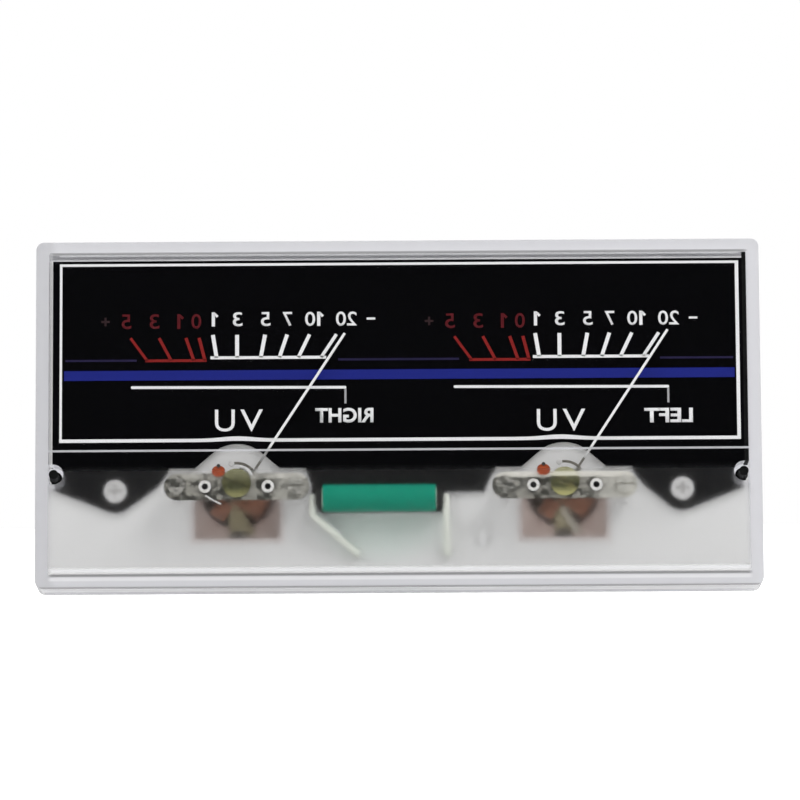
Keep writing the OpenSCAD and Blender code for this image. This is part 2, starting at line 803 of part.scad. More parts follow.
// Flat spiral strip of four turns
module spiral() {
    steps = spring_turns * 24;
    function edge(i, out) = let (a = i * 15,
        r = spring_in + (spring_out - spring_in) * i / steps + out)
        [r * cos(a), r * sin(a)];
    polygon(concat([for (i = [0 : steps]) edge(i, spring_t / 2)],
        [for (i = [steps : -1 : 0]) edge(i, -spring_t / 2)]));
}

module front_hairspring(x) {
    color([0.55, 0.45, 0.25]) placed()
        slab(front_spring_d, front_spring_d + spring_w) translate([x, pivot_z]) spiral();
}

module rear_hairspring(x) {
    color([0.55, 0.45, 0.25]) placed()
        slab(rear_spring_d, rear_spring_d + spring_w) translate([x, pivot_z]) spiral();
}

// ---- moving system ----

module pivot_staffs(x) {
    color([0.7, 0.7, 0.72]) placed() {
        rod(x, pivot_z, staff_front, jewel_back, pivot_r);
        rod(x, pivot_z, jewel_back, coil_front, staff_r);
        rod(x, pivot_z, front_spring_d, front_spring_d + spring_w, collet_r);
        rod(x, pivot_z, coil_back, rear_jewel_front, staff_r);
        rod(x, pivot_z, rear_spring_d, rear_spring_d + spring_w, collet_r);
        rod(x, pivot_z, rear_jewel_front, staff_back, pivot_r);
    }
}

// Rectangular ring of the coil, seen from its side, made square across the axis
module coil_ring(x, half_l, front, back, t) {
    at_rest(x) translate([0, 0, -coil_half_w]) linear_extrude(2 * coil_half_w)
        difference() {
            translate([-half_l, front]) square([2 * half_l, back - front]);
            translate([-half_l + t, front + t])
                square([2 * (half_l - t), back - front - 2 * t]);
        }
}

module coil_winding(x) {
    color([0.62, 0.3, 0.17]) placed()
        coil_ring(x, coil_half_l, coil_front, coil_back, winding_t);
}

module coil_former(x) {
    color([0.65, 0.64, 0.6]) placed()
        coil_ring(x, coil_half_l - winding_t, former_front, former_back, former_t);
}

// Dark hub with the bare root of the needle and the tail that carries the weight
module needle_root(x) {
    color([0.25, 0.25, 0.25]) placed() at_rest(x) difference() {
        union() {
            slab(hub_front, hub_back) circle(hub_r);
            translate([needle_offset(x) - needle_w / 2, needle_front, 0])
                cube([needle_w, needle_t, needle_root_l]);
            translate([-0.3, needle_front, -tail_from - weight_l])
                cube([0.6, needle_t, tail_from + weight_l]);
        }
        rod(0, 0, hub_front - cut, hub_back + cut, staff_r);
    }
}

module needle(x) {
    color([0.95, 0.95, 0.95]) placed() at_rest(x)
        translate([needle_offset(x) - needle_w / 2, needle_front, needle_root_l])
        cube([needle_w, needle_t, needle_l - needle_root_l]);
}

module balance_weight(x) {
    color([0.6, 0.28, 0.15]) placed() at_rest(x) difference() {
        translate([0, (needle_front + needle_back) / 2, -tail_from - weight_l])
            cylinder(r = weight_r, h = weight_l);
        translate([-0.3, needle_front, -tail_from - weight_l - cut])
            cube([0.6, needle_t, weight_l + 2 * cut]);
    }
}

// ---- magnet system ----

module yoke(x) {
    color([0.6, 0.42, 0.38]) placed() difference() {
        slab(core_front, core_back) translate([x, 0])
            rounded(2 * yoke_half, pivot_z - yoke_half, pivot_z + yoke_half, corner_r);
        rod(x, pivot_z, core_front - cut, core_back + cut, yoke_in);
        for (corner = corners) {
            rod(x + corner[0] * yoke_screw_at, pivot_z + corner[1] * yoke_screw_at,
                core_front - cut, core_back + cut, yoke_screw_r + screw_gap);
        }
        for (side = [-1, 1]) {
            rod(x, pivot_z + side * bracket_screw_at, core_front - cut,
                core_front + bracket_screw_in, bridge_screw_r + screw_gap);
            rod(x + side * spacer_at, pivot_z, core_back - rear_screw_in,
                core_back + cut, bridge_screw_r + screw_gap);
        }
    }
}

module core_magnet(x) {
    color([0.35, 0.35, 0.36]) placed() rod(x, pivot_z, core_front, core_back, core_r);
}

module core_bracket(x) {
    color([0.72, 0.6, 0.3]) placed() difference() {
        slab(bracket_front, core_front) translate([x, pivot_z]) rotate(90)
            strip(2 * bracket_half_l, bracket_w);
        for (side = [-1, 1]) {
            rod(x, pivot_z + side * bracket_screw_at, bracket_front - cut, core_front + cut,
                bridge_screw_r + screw_gap);
        }
    }
}

// Screws that hold each magnet's strip on the front of its yoke
module bracket_screws() {
    color([0.75, 0.74, 0.68]) placed() for (x = [left_x, right_x], side = [-1, 1]) {
        z = pivot_z + side * bracket_screw_at;
        difference() {
            union() {
                rod(x, z, bracket_front, core_front + bracket_screw_in - screw_end,
                    bridge_screw_r);
                rod(x, z, bracket_front - bridge_head_h, bracket_front, bridge_head_r);
            }
            translate([x, bracket_front - bridge_head_h, z])
                cube([bridge_slot_l, bridge_slot_d, bridge_slot_w], center = true);
        }
    }
}

module yoke_screws() {
    color([0.75, 0.75, 0.72]) placed() for (x = [left_x, right_x], corner = corners) {
        at = x + corner[0] * yoke_screw_at;
        z = pivot_z + corner[1] * yoke_screw_at;
        difference() {
            union() {
                rod(at, z, core_front - yoke_screw_in + screw_end, core_back, yoke_screw_r);
                rod(at, z, core_back, core_back + yoke_head_h, yoke_head_r);
            }
            cross_slot(at, z, core_back + yoke_head_h, 1);
        }
    }
}

module rear_bridge(x) {
    half_l = spacer_at + rear_bridge_w / 2;
    color([0.62, 0.6, 0.55]) placed() difference() {
        slab(rear_bridge_front, rear_bridge_back) translate([x, pivot_z])
            strip(2 * half_l, rear_bridge_w);
        rod(x, pivot_z, rear_bridge_front - cut, rear_bridge_back + cut,
            jewel_r + screw_gap);
        for (side = [-1, 1]) {
            rod(x + side * spacer_at, pivot_z, rear_bridge_front - cut,
                rear_bridge_back + cut, bridge_screw_r + screw_gap);
        }
    }
}

module rear_spacers() {
    color([0.75, 0.65, 0.4]) placed() for (x = [left_x, right_x], side = [-1, 1]) {
        difference() {
            rod(x + side * spacer_at, pivot_z, core_back, rear_bridge_front, spacer_r);
            rod(x + side * spacer_at, pivot_z, core_back - cut, rear_bridge_front + cut,
                bridge_screw_r + screw_gap);
        }
    }
}

module rear_bridge_screws() {
    color([0.75, 0.74, 0.68]) placed() for (x = [left_x, right_x], side = [-1, 1]) {
        at = x + side * spacer_at;
        head = rear_bridge_back + bridge_head_h;
        difference() {
            union() {
                rod(at, pivot_z, core_back - rear_screw_in + screw_end, rear_bridge_back,
                    bridge_screw_r);
                rod(at, pivot_z, rear_bridge_back, head, bridge_head_r);
            }
            translate([at, head, pivot_z])
                cube([bridge_slot_l, bridge_slot_d, bridge_slot_w], center = true);
        }
    }
}

module rear_jewel_screw(x) {
    head = rear_bridge_back + rear_jewel_head_h;
    color([0.8, 0.7, 0.4]) placed() difference() {
        union() {
            rod(x, pivot_z, rear_jewel_front, rear_bridge_back, jewel_r);
            rod(x, pivot_z, rear_bridge_back, head, jewel_r + 0.5);
        }
        rod(x, pivot_z, rear_jewel_front - cut, rear_jewel_front + jewel_depth,
            pivot_r + run_gap);
        translate([x, head, pivot_z])
            cube([1.4 * bridge_slot_l, bridge_slot_d, bridge_slot_w], center = true);
    }
}

// Wires from one movement's tags: one to the rear bridge, one forward to the bracket
module movement_leads(x) {
    rear_d = rear_bridge_back + wire_r + touch_gap;
    bracket_d = (bracket_front + core_front) / 2;
    below_tag = tag_z - tag_t / 2 - touch_gap;
    over_yoke = pivot_z + yoke_half + 4 * wire_r;
    color([0.7, 0.15, 0.12]) placed() {
        wire([[x - tag_pitch / 2, rear_d, below_tag], [x - tag_pitch / 2, rear_d, pivot_z + 1]],
            wire_r);
        wire([[x + tag_pitch / 2, rear_d, below_tag], [x + tag_pitch / 2, rear_d, over_yoke],
            [x, bracket_d, over_yoke],
            [x, bracket_d, pivot_z + bracket_half_l + touch_gap]], wire_r);
    }
}

front_cover();
base_body();
rear_cover();
rear_cover_screws();
dial_plate();
dial_screws();
lamp_bulb();
lamp_sleeve();
lamp_holders();
lamp_leads();
lamp_tags();
movement_tags();
spring_tabs();
bridge_screws();
bridge_rivets();
bracket_screws();
yoke_screws();
rear_spacers();
rear_bridge_screws();
yoke(left_x);  // yoke_left
core_magnet(left_x);  // core_magnet_left
core_bracket(left_x);  // core_bracket_left
front_bridge(left_x);  // front_bridge_left
front_jewel_screw(left_x);  // front_jewel_screw_left
zero_lever(left_x);  // zero_lever_left
front_hairspring(left_x);  // front_hairspring_left
rear_hairspring(left_x);  // rear_hairspring_left
pivot_staffs(left_x);  // pivot_staffs_left
coil_former(left_x);  // coil_former_left
coil_winding(left_x);  // coil_winding_left
needle_root(left_x);  // needle_root_left
needle(left_x);  // needle_left
balance_weight(left_x);  // balance_weight_left
rear_bridge(left_x);  // rear_bridge_left
rear_jewel_screw(left_x);  // rear_jewel_screw_left
movement_leads(left_x);  // movement_leads_left
yoke(right_x);  // yoke_right
core_magnet(right_x);  // core_magnet_right
core_bracket(right_x);  // core_bracket_right
front_bridge(right_x);  // front_bridge_right
front_jewel_screw(right_x);  // front_jewel_screw_right
zero_lever(right_x);  // zero_lever_right
front_hairspring(right_x);  // front_hairspring_right
rear_hairspring(right_x);  // rear_hairspring_right
pivot_staffs(right_x);  // pivot_staffs_right
coil_former(right_x);  // coil_former_right
coil_winding(right_x);  // coil_winding_right
needle_root(right_x);  // needle_root_right
needle(right_x);  // needle_right
balance_weight(right_x);  // balance_weight_right
rear_bridge(right_x);  // rear_bridge_right
rear_jewel_screw(right_x);  // rear_jewel_screw_right
movement_leads(right_x);  // movement_leads_right
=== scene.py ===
"""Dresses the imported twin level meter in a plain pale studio.

A clear box cover stands before a black printed dial, two moving-coil movements and the
lamp between them, on a white moulded base. Lengths are in millimetres in the classes,
and depths are measured back from the front face, as in the model.
"""

import json
import logging
import math
from collections.abc import Iterable, Sequence
from dataclasses import dataclass, field
from enum import Enum
from functools import reduce

import bpy
from mathutils import Matrix, Vector


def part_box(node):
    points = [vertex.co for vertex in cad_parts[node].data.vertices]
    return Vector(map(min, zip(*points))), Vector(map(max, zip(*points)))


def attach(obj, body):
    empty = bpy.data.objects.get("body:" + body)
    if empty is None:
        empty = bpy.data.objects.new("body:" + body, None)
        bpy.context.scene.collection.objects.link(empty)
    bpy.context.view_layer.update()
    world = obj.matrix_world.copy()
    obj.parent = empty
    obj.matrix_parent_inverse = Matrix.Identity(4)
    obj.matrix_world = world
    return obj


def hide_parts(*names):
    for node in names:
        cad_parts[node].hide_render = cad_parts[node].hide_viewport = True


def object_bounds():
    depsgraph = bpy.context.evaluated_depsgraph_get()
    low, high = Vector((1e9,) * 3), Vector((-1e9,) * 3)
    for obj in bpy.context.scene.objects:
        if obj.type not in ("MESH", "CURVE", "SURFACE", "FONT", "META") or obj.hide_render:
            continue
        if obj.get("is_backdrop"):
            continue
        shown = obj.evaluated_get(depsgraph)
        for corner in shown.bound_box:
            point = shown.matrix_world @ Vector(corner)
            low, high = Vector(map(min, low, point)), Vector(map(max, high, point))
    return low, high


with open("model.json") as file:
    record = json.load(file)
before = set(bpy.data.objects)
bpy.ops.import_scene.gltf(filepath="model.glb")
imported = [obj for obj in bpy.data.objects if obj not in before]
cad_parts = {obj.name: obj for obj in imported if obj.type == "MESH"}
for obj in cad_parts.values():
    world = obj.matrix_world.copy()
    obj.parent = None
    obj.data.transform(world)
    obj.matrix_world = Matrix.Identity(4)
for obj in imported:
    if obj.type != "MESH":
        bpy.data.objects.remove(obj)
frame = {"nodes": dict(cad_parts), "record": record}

log = logging.getLogger("level_meter")

MM = 0.001
METER = "meter"
WELD = 0.001 * MM
FLAT = math.radians(1)
CLOUDS = 90
FILM = 1500
GRAIN = 6000
GRAIN_H = 0.004

Colour = tuple[float, float, float]
Spot = tuple[float, float, float]
Span = tuple[float, float]
Piece = bpy.types.Object
Finish = bpy.types.Material
Socket = bpy.types.NodeSocket


class Side(Enum):
    """The two movements, as seen from the front."""

    LEFT = "left"
    RIGHT = "right"

    def pick(self, pair: Sequence[object]) -> object:
        """Chooses this side's own out of a left and a right value."""
        return pair[0 if self is Side.LEFT else 1]


def mm(lengths: Iterable[float]) -> tuple[float, ...]:
    """Turns millimetres into metres."""
    return tuple(length * MM for length in lengths)


def darker(colour: Colour, share: float) -> Colour:
    """Leaves a colour a share of its brightness."""
    return tuple(c * share for c in colour)


@dataclass(frozen=True)
class Layout:
    """Places that several pieces share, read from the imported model, in metres."""

    low: Vector
    high: Vector

    @classmethod
    def read(cls) -> "Layout":
        """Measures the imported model."""
        return cls(*(Vector(corner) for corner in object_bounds()))

    def depth(self, behind: float) -> float:
        """Gives the Y of a depth in millimetres behind the front face."""
        return self.low.y + behind * MM

    def span(self, depths: Span) -> tuple[float, ...]:
        """Gives the Y of both ends of a range of depths."""
        return tuple(self.depth(behind) for behind in depths)

    def behind(self, y: float) -> float:
        """Gives the depth in millimetres of a Y."""
        return (y - self.low.y) / MM

    def spot(self, place: Spot) -> Vector:
        """Gives a place in metres from its millimetres across, in depth and in height."""
        x, behind, z = place
        return Vector((x * MM, self.depth(behind), z * MM))

    def pivot(self, side: Side) -> Vector:
        """Gives the middle of a movement's cap, which lies on its needle's axis."""
        low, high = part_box(f"front_jewel_screw_{side.value}")
        return (Vector(low) + Vector(high)) / 2


# ---- modelling by hand: selection, placing and modifiers ----


def only(piece: Piece) -> None:
    """Leaves just this piece selected and active.

    Args:
        piece: any object of the scene.
    """
    if bpy.context.mode != "OBJECT":
        bpy.ops.object.mode_set(mode="OBJECT")
    for other in bpy.context.selected_objects:
        other.select_set(False)
    piece.select_set(True)
    bpy.context.view_layer.objects.active = piece


def set_down(piece: Piece) -> None:
    """Moves a piece's place, turn and scale into its mesh."""
    only(piece)
    bpy.ops.object.transform_apply(location=True, rotation=True, scale=True)


def to_mesh(piece: Piece) -> Piece:
    """Turns a text or a curve into a mesh.

    Args:
        piece: the text or curve object.

    Returns:
        The mesh object.
    """
    only(piece)
    bpy.ops.object.convert(target="MESH")
    return bpy.context.object


def join(pieces: Sequence[Piece]) -> Piece:
    """Joins pieces into the first one.

    Args:
        pieces: mesh objects, at least one.

    Returns:
        The first object, which now holds all the meshes.
    """
    only(pieces[0])
    for piece in pieces[1:]:
        piece.select_set(True)
    bpy.ops.object.join()
    return bpy.context.object


def modify(piece: Piece, kind: str, **settings: object) -> None:
    """Adds a modifier to a piece and applies it.

    Args:
        piece: the mesh object.
        kind: the modifier's type.
        **settings: the modifier's properties.
    """
    only(piece)
    modifier = piece.modifiers.new(kind.title(), kind)
    for key, value in settings.items():
        setattr(modifier, key, value)
    bpy.ops.object.modifier_apply(modifier=modifier.name)


def round_off(piece: Piece, width: float, degrees: float) -> None:
    """Rounds a piece's edges that turn by more than some degrees."""
    angle = math.radians(degrees)
    modify(piece, "BEVEL", width=width * MM, segments=3, limit_method="ANGLE", angle_limit=angle)


def paint(piece: Piece, material: Finish) -> None:
    """Gives all of a piece one material."""
    piece.data.materials.clear()
    piece.data.materials.append(material)


def hand_over(
    piece: Piece, name: str, material: Finish, body: str, replaces: Sequence[str] = ()
) -> None:
    """Names and paints a finished piece, attaches it to its body and hides the nodes it replaces.

    Args:
        piece: the mesh object, with its place in its mesh.
        name: the name that the piece keeps.
        material: its finish.
        body: the body that it moves with.
        replaces: model nodes that it stands for.
    """
    piece.name = piece.data.name = name
    paint(piece, material)
    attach(piece, body)
    if replaces:
        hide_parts(*replaces)
    log.info("%s: %d faces", name, len(piece.data.polygons))


def open_all(piece: Piece) -> None:
    """Opens a piece in edit mode with all its faces selected.

    Args:
        piece: the mesh object.
    """
    only(piece)
    bpy.ops.object.mode_set(mode="EDIT")
    bpy.ops.mesh.select_mode(type="FACE")
    bpy.ops.mesh.select_all(action="SELECT")


def soften(node: str, width: float) -> None:
    """Rounds the sharp edges of a model node with live modifiers.

    Args:
        node: the model node's name.
        width: the width of the rounding in millimetres.
    """
    piece = frame["nodes"][node]
    weld = piece.modifiers.new("Weld", "WELD")
    weld.merge_threshold = WELD
    flat = piece.modifiers.new("Flat", "DECIMATE")
    flat.decimate_type = "DISSOLVE"
    flat.angle_limit = FLAT
    bevel = piece.modifiers.new("Edges", "BEVEL")
    bevel.width = width * MM
    bevel.segments = 2
    bevel.limit_method = "ANGLE"
    bevel.angle_limit = math.radians(40)


# ---- finishes ----


class Graph:
    """Builds a node tree one node at a time."""

    def __init__(self, tree: bpy.types.NodeTree) -> None:
        """Empties the material's or the world's node tree."""
        self.tree = tree
        self.tree.nodes.clear()

    def add(
        self, kind: str, sockets: dict[object, object] | None = None, **settings: object
    ) -> bpy.types.Node:
        """Adds a node.

        Args:
            kind: the node's type without "ShaderNode".
            sockets: input names or numbers, each with a value or an output to link.
            **settings: the node's properties.

        Returns:
            The new node.
        """
        node = self.tree.nodes.new(f"ShaderNode{kind}")
        for key, value in settings.items():
            setattr(node, key, value)
        for key, value in (sockets or {}).items():
            if isinstance(value, Socket):
                self.tree.links.new(value, node.inputs[key])
            else:
                node.inputs[key].default_value = value
        return node

    def ramp(
        self, value: Socket, start: float, end: float, low: float = 0, high: float = 1
    ) -> Socket:
        """Maps a value smoothly from one range to another.

        Args:
            value: the value's output.
            start: where the change begins.
            end: where it ends.
            low: the result before start.
            high: the result after end.

        Returns:
            The mapped output.
        """
        ends = {"From Min": start, "From Max": end, "To Min": low, "To Max": high}
        node = self.add("MapRange", {"Value": value, **ends}, interpolation_type="SMOOTHSTEP")
        return node.outputs["Result"]

    def math(self, operation: str, a: object, b: object = 0.0) -> Socket:
        """Joins two values or outputs by one of the Math node's operations."""
        return self.add("Math", {0: a, 1: b}, operation=operation).outputs[0]

    def times(self, *values: object) -> Socket:
        """Multiplies values or outputs in their order."""
        return reduce(lambda a, b: self.math("MULTIPLY", a, b), values)

    def mix(self, share: object, first: object, second: object) -> Socket:
        """Mixes two colours, given as tuples or outputs, by the second one's share."""
        first, second = ((*c, 1.0) if isinstance(c, tuple) else c for c in (first, second))
        return self.add("Mix", {0: share, 6: first, 7: second}, data_type="RGBA").outputs[2]


class Shader(Graph):
    """A material's node tree, with its patterns and its output."""

    def __init__(self, name: str) -> None:
        """Starts an empty material.

        Args:
            name: the material's name.
        """
        self.material = bpy.data.materials.new(name)
        self.material.use_nodes = True
        super().__init__(self.material.node_tree)

    def place(self) -> Socket:
        """Gives the Object coordinates."""
        return self.add("TexCoord").outputs["Object"]

    def axes(self) -> tuple[Socket, ...]:
        """Gives the places across, in depth and in height, each as a value."""
        place = self.add("SeparateXYZ", {0: self.place()})
        return tuple(place.outputs[axis] for axis in "XYZ")

    def band(self, value: Socket, low: float, high: float) -> Socket:
        """Tells where a value lies between two limits."""
        over = self.math("GREATER_THAN", value, low)
        return self.times(over, self.math("LESS_THAN", value, high))

    def away(self, value: Socket, middle: float) -> Socket:
        """Gives how far a value lies from a middle."""
        return self.math("ABSOLUTE", self.math("SUBTRACT", value, middle))

    def distance(self, parts: Sequence[tuple[Socket, float, float]]) -> Socket:
        """Gives the squared distance from a point, each axis measured in its own reach.

        Args:
            parts: for each axis its value, the point's place on it and the reach.

        Returns:
            The squared distance, which is 1 at the reach.
        """
        total: object = 0.0
        for value, middle, reach in parts:
            share = self.math("DIVIDE", self.math("SUBTRACT", value, middle), reach)
            total = self.math("ADD", total, self.times(share, share))
        return total

    def noise(self, per_metre: float, detail: float = 3) -> Socket:
        """Gives a noise with so many features in a metre and so many finer layers."""
        sockets = {"Vector": self.place(), "Scale": per_metre, "Detail": detail}
        return self.add("TexNoise", sockets).outputs["Fac"]

    def bump(self, height: Socket, millimetres: float) -> Socket:
        """Gives a normal from a height, where 1 stands for so many millimetres."""
        sockets = {"Height": height, "Strength": 1.0, "Distance": millimetres * MM}
        return self.add("Bump", sockets).outputs["Normal"]

    def grain(self) -> Socket:
        """Gives the normal of a moulding's fine grain."""
        return self.bump(self.noise(GRAIN, 2), GRAIN_H)

    def patchy(self, colour: Colour, share: float, per_metre: float, detail: float = 3) -> Socket:
        """Darkens a colour by up to a share, in so many patches to a metre."""
        return self.mix(self.noise(per_metre, detail), colour, darker(colour, 1 - share))

    def close(self, surface: Socket) -> Finish:
        """Ends the tree with its output."""
        self.add("OutputMaterial", {"Surface": surface})
        return self.material

    def skin(self, colour: Socket, roughness: object, **others: object) -> Finish:
        """Ends the tree with a plain surface.

        Args:
            colour: the colour's output.
            roughness: a value or an output.
            **others: more sockets, with an underscore for each space in their names.

        Returns:
            The finished material.
        """
        sockets = {"Base Color": colour, "Roughness": roughness}
        sockets |= {name.replace("_", " "): value for name, value in others.items()}
        return self.close(self.add("BsdfPrincipled", sockets).outputs[0])


@dataclass(frozen=True)
class Moulded:
    """Plastic out of a mould: a fine grain, faint clouds and a soft gloss."""

    name: str
    colour: Colour
    roughness: float = 0.45
    cloud: float = 0.04
    gloss_change: float = 0.05

    def make(self) -> Finish:
        """Builds the material.

        Returns:
            The material.
        """
        s = Shader(self.name)
        low, high = self.roughness - self.gloss_change, self.roughness + self.gloss_change
        rough = s.ramp(s.noise(400), 0.3, 0.7, low, high)
        return s.skin(s.patchy(self.colour, self.cloud, CLOUDS, 4), rough, Normal=s.grain())


@dataclass(frozen=True)
class Metal:
    """Metal with mottles, fine scratches and worn gloss."""

    name: str
    colour: Colour
    dark: Colour
    roughness: float = 0.3
    mottle_per_metre: float = 900
    spread: float = 0.25
    metallic: float = 1.0
    dulling: float = 0.1
    relief: float = 0.01
    wear: Span = (-0.05, 0.1)

    def shade(self, s: Shader, mottle: Socket) -> Socket:
        """Gives the metal's colour, from light to dark by its mottles."""
        return s.mix(mottle, self.colour, self.dark)

    def light(self, s: Shader) -> dict[str, object]:
        """Gives the sockets of a painted glow that stands in for the light it gets from the
        moulding round it; plain metal has none.
        """
        return {}

    def make(self) -> Finish:
        """Builds the material.

        Returns:
            The material.
        """
        s = Shader(self.name)
        noise = s.noise(self.mottle_per_metre, 4)
        mottle = s.ramp(noise, 0.5 - self.spread, 0.5 + self.spread)
        wear_and_painted_light = s.ramp(s.noise(5000, 2), 0.3, 0.7, *self.wear)
        rough = s.math("ADD", s.times(mottle, self.dulling), wear_and_painted_light)
        return s.skin(
            self.shade(s, mottle),
            s.math("ADD", rough, self.roughness),
            Metallic=self.metallic,
            Normal=s.bump(mottle, self.relief),
            **self.light(s),
        )


@dataclass(frozen=True)
class Zone:
    """A change in how pale a metal is, painted light and shade along it: where it begins and ends
    across, and by how much.
    """

    start: float
    end: float
    change: float


@dataclass(frozen=True)
class MottledStrip(Metal):
    """Pale metal with dark mottles, with painted light and shade in zones along it and a painted
    highlight band under its upper edge.
    """

    metallic: float = 0.3
    lit_pale: Colour = (0.70, 0.69, 0.62)
    zones: tuple[Zone, ...] = (
        Zone(-22.0, -19.0, 0.4),
        Zone(-2.0, 2.0, -0.25),
        Zone(19.5, 22.5, -0.15),
        Zone(31.5, 34.5, 0.9),
    )
    # colour and place of the painted highlight band under the upper edge, and how weak it is on
    # the left
    edge: Colour = (0.88, 0.86, 0.78)
    edge_top: float = 0.0
    edge_h: float = 0.9
    edge_fade: float = 0.25
    left_highlight: float = 0.45
    highlight_fade_from: float = -34.0

    def shade(self, s: Shader, mottle: Socket) -> Socket:
        """Adds the zones of painted light and shade and the painted highlight band under the upper
        edge.

        Args:
            s: the material's tree.
            mottle: where the dark mottles lie.

        Returns:
            The colour's output.
        """
        across, _, height = s.axes()
        # Painted light and shade: the zones leave each strip's right end paler and the rest
        # darker.
        share: object = 0.0
        for zone in self.zones:
            step = s.ramp(across, zone.start * MM, zone.end * MM, 0, zone.change)
            share = s.math("ADD", share, step)
        patchy = s.ramp(s.noise(500), 0.35, 0.65, 0.7, 1.1)
        face = s.mix(s.times(share, patchy), super().shade(s, mottle), self.lit_pale)
        # Painted highlight: a bright band under the upper edge, broken into patches and weaker to
        # the left.
        low = self.edge_top - self.edge_h * MM
        fade = self.edge_fade * MM
        band = s.ramp(height, low - fade, low + fade)
        right = s.ramp(across, self.highlight_fade_from * MM, 0.0, self.left_highlight, 1)
        highlight_breakup = s.ramp(s.noise(700, 2), 0.35, 0.6, 1, self.left_highlight)
        wear_and_painted_light = s.math("MAXIMUM", highlight_breakup, right)
        return s.mix(s.times(band, s.times(wear_and_painted_light, right)), face, self.edge)


@dataclass(frozen=True)
class LitBorderIron(Metal):
    """Plated iron whose outer border fades to a pale pink with a painted glow, as pale and lit as
    the moulding round it.
    """

    lit_pale: Colour = (0.84, 0.71, 0.65)
    middles: Span = (0.0, 0.0)
    middle_z: float = 0.0
    half: float = 6.6
    fade: float = 3.6
    past: float = 0.2
    full: float = 0.85
    lights: Span = (0.035, 0.125)

    def border(self, s: Shader) -> Socket:
        """Tells how near a place is to the outer edge of its block.

        Args:
            s: the material's tree.

        Returns:
            0 inside, and most at the edge.
        """
        across, _, height = s.axes()
        beside = s.math("MINIMUM", *(s.away(across, middle) for middle in self.middles))
        farther = s.math("MAXIMUM", beside, s.away(height, self.middle_z))
        out = s.math("SUBTRACT", farther, self.half * MM)
        return s.ramp(out, -self.fade * MM, self.past * MM, 0, self.full)

    def shade(self, s: Shader, mottle: Socket) -> Socket:
        """Fades the border of each of the two blocks to the pale pink that the painted glow
        lights.
        """
        return s.mix(self.border(s), super().shade(s, mottle), self.lit_pale)

    def light(self, s: Shader) -> dict[str, object]:
        """Lights the border with a painted glow, more on the right block than on the left one."""
        # Painted glow: an emission on the border, though the iron is no lamp.
        glow = s.times(self.border(s), s.ramp(s.axes()[0], *mm((-1, 1)), *self.lights))
        return {"Emission_Color": (*self.lit_pale, 1), "Emission_Strength": glow}


@dataclass(frozen=True)
class DomedCap(Metal):
    """Olive cap with painted reflections: dark over its middle, a painted pale highlight above, a
    painted bright glint below and a painted shine streak on the right cap.
    """

    lit_pale: Colour = (0.34, 0.33, 0.19)
    glint: Colour = (0.42, 0.40, 0.16)
    shine: Colour = (0.80, 0.78, 0.64)
    shine_share: float = 0.75
    axis_z: float = 0.0
    radius: float = 2.4
    left_shade: float = 0.55

    def shade(self, s: Shader, mottle: Socket) -> Socket:
        """Mixes the three zones of painted light by height, with painted shade that leaves the
        left cap darker than the right one.

        Args:
            s: the material's tree.
            mottle: where the dark mottles lie.

        Returns:
            The colour's output.
        """
        across, _, height = s.axes()
        up = s.math("DIVIDE", s.math("SUBTRACT", height, self.axis_z), self.radius * MM)
        # Painted highlights: pale above the middle, a bright glint below it.
        upper = s.mix(s.ramp(up, -0.05, 0.85), super().shade(s, mottle), self.lit_pale)
        lit = s.mix(s.ramp(up, -0.95, -0.25, 1, 0), upper, self.glint)
        # Painted highlight: a streak of shine on the right cap.
        line = s.times(s.ramp(up, 0.3, 0.42), s.ramp(up, 0.6, 0.75, 1, 0))
        right = s.math("GREATER_THAN", across, 0.0)
        lit = s.mix(s.times(line, right, self.shine_share), lit, self.shine)
        # Painted shade over the left cap.
        return s.mix(s.ramp(across, *mm((-1, 1)), 1 - self.left_shade, 0), lit, self.dark)


@dataclass(frozen=True)
class RivetMetal(Metal):
    """Bright metal with painted shade in its hole: black over all that lies behind the rivets'
    front faces.
    """

    rim: float = 0.0
    hole: Colour = (0.004, 0.004, 0.004)

    def shade(self, s: Shader, mottle: Socket) -> Socket:
        """Darkens what lies deeper than the rim with painted shade."""
        # Painted shade in the rivets' holes.
        deeper = s.math("GREATER_THAN", s.axes()[1], self.rim)
        return s.mix(deeper, super().shade(s, mottle), self.hole)


@dataclass(frozen=True)
class Paint:
    """Flat paint or ink with a slightly uneven film."""

    name: str
    colour: Colour
    roughness: float = 0.5
    specular: float = 0.2
    uneven: float = 0.08

    def make(self) -> Finish:
        """Builds the material.

        Returns:
            The material.
        """
        s = Shader(self.name)
        colour = s.patchy(self.colour, self.uneven, FILM)
        film = s.bump(s.noise(4000, 2), 0.002)
        return s.skin(colour, self.roughness, Specular_IOR_Level=self.specular, Normal=film)


@dataclass(frozen=True)
class NeedlePaint:
    """White paint with painted shade: grey near each needle's root, darker on the left needle."""

    name: str
    colour: Colour = (0.92, 0.92, 0.91)
    wear_and_painted_light: tuple[Colour, Colour] = ((0.30, 0.30, 0.29), (0.55, 0.55, 0.54))
    shade_z: Span = (23.5, 24.6)

    def make(self) -> Finish:
        """Builds the material.

        Returns:
            The material.
        """
        s = Shader(self.name)
        across, _, height = s.axes()
        # Painted shade: grey towards each needle's root, darker on the left.
        share = s.ramp(height, *mm(self.shade_z), 1, 0)
        grey = s.mix(s.math("GREATER_THAN", across, 0.0), *self.wear_and_painted_light)
        patchy = s.ramp(s.noise(900, 2), 0.3, 0.7, 0.9, 1)
        colour = s.mix(s.times(share, patchy), self.colour, grey)
        return s.skin(colour, 0.5, Specular_IOR_Level=0.2)


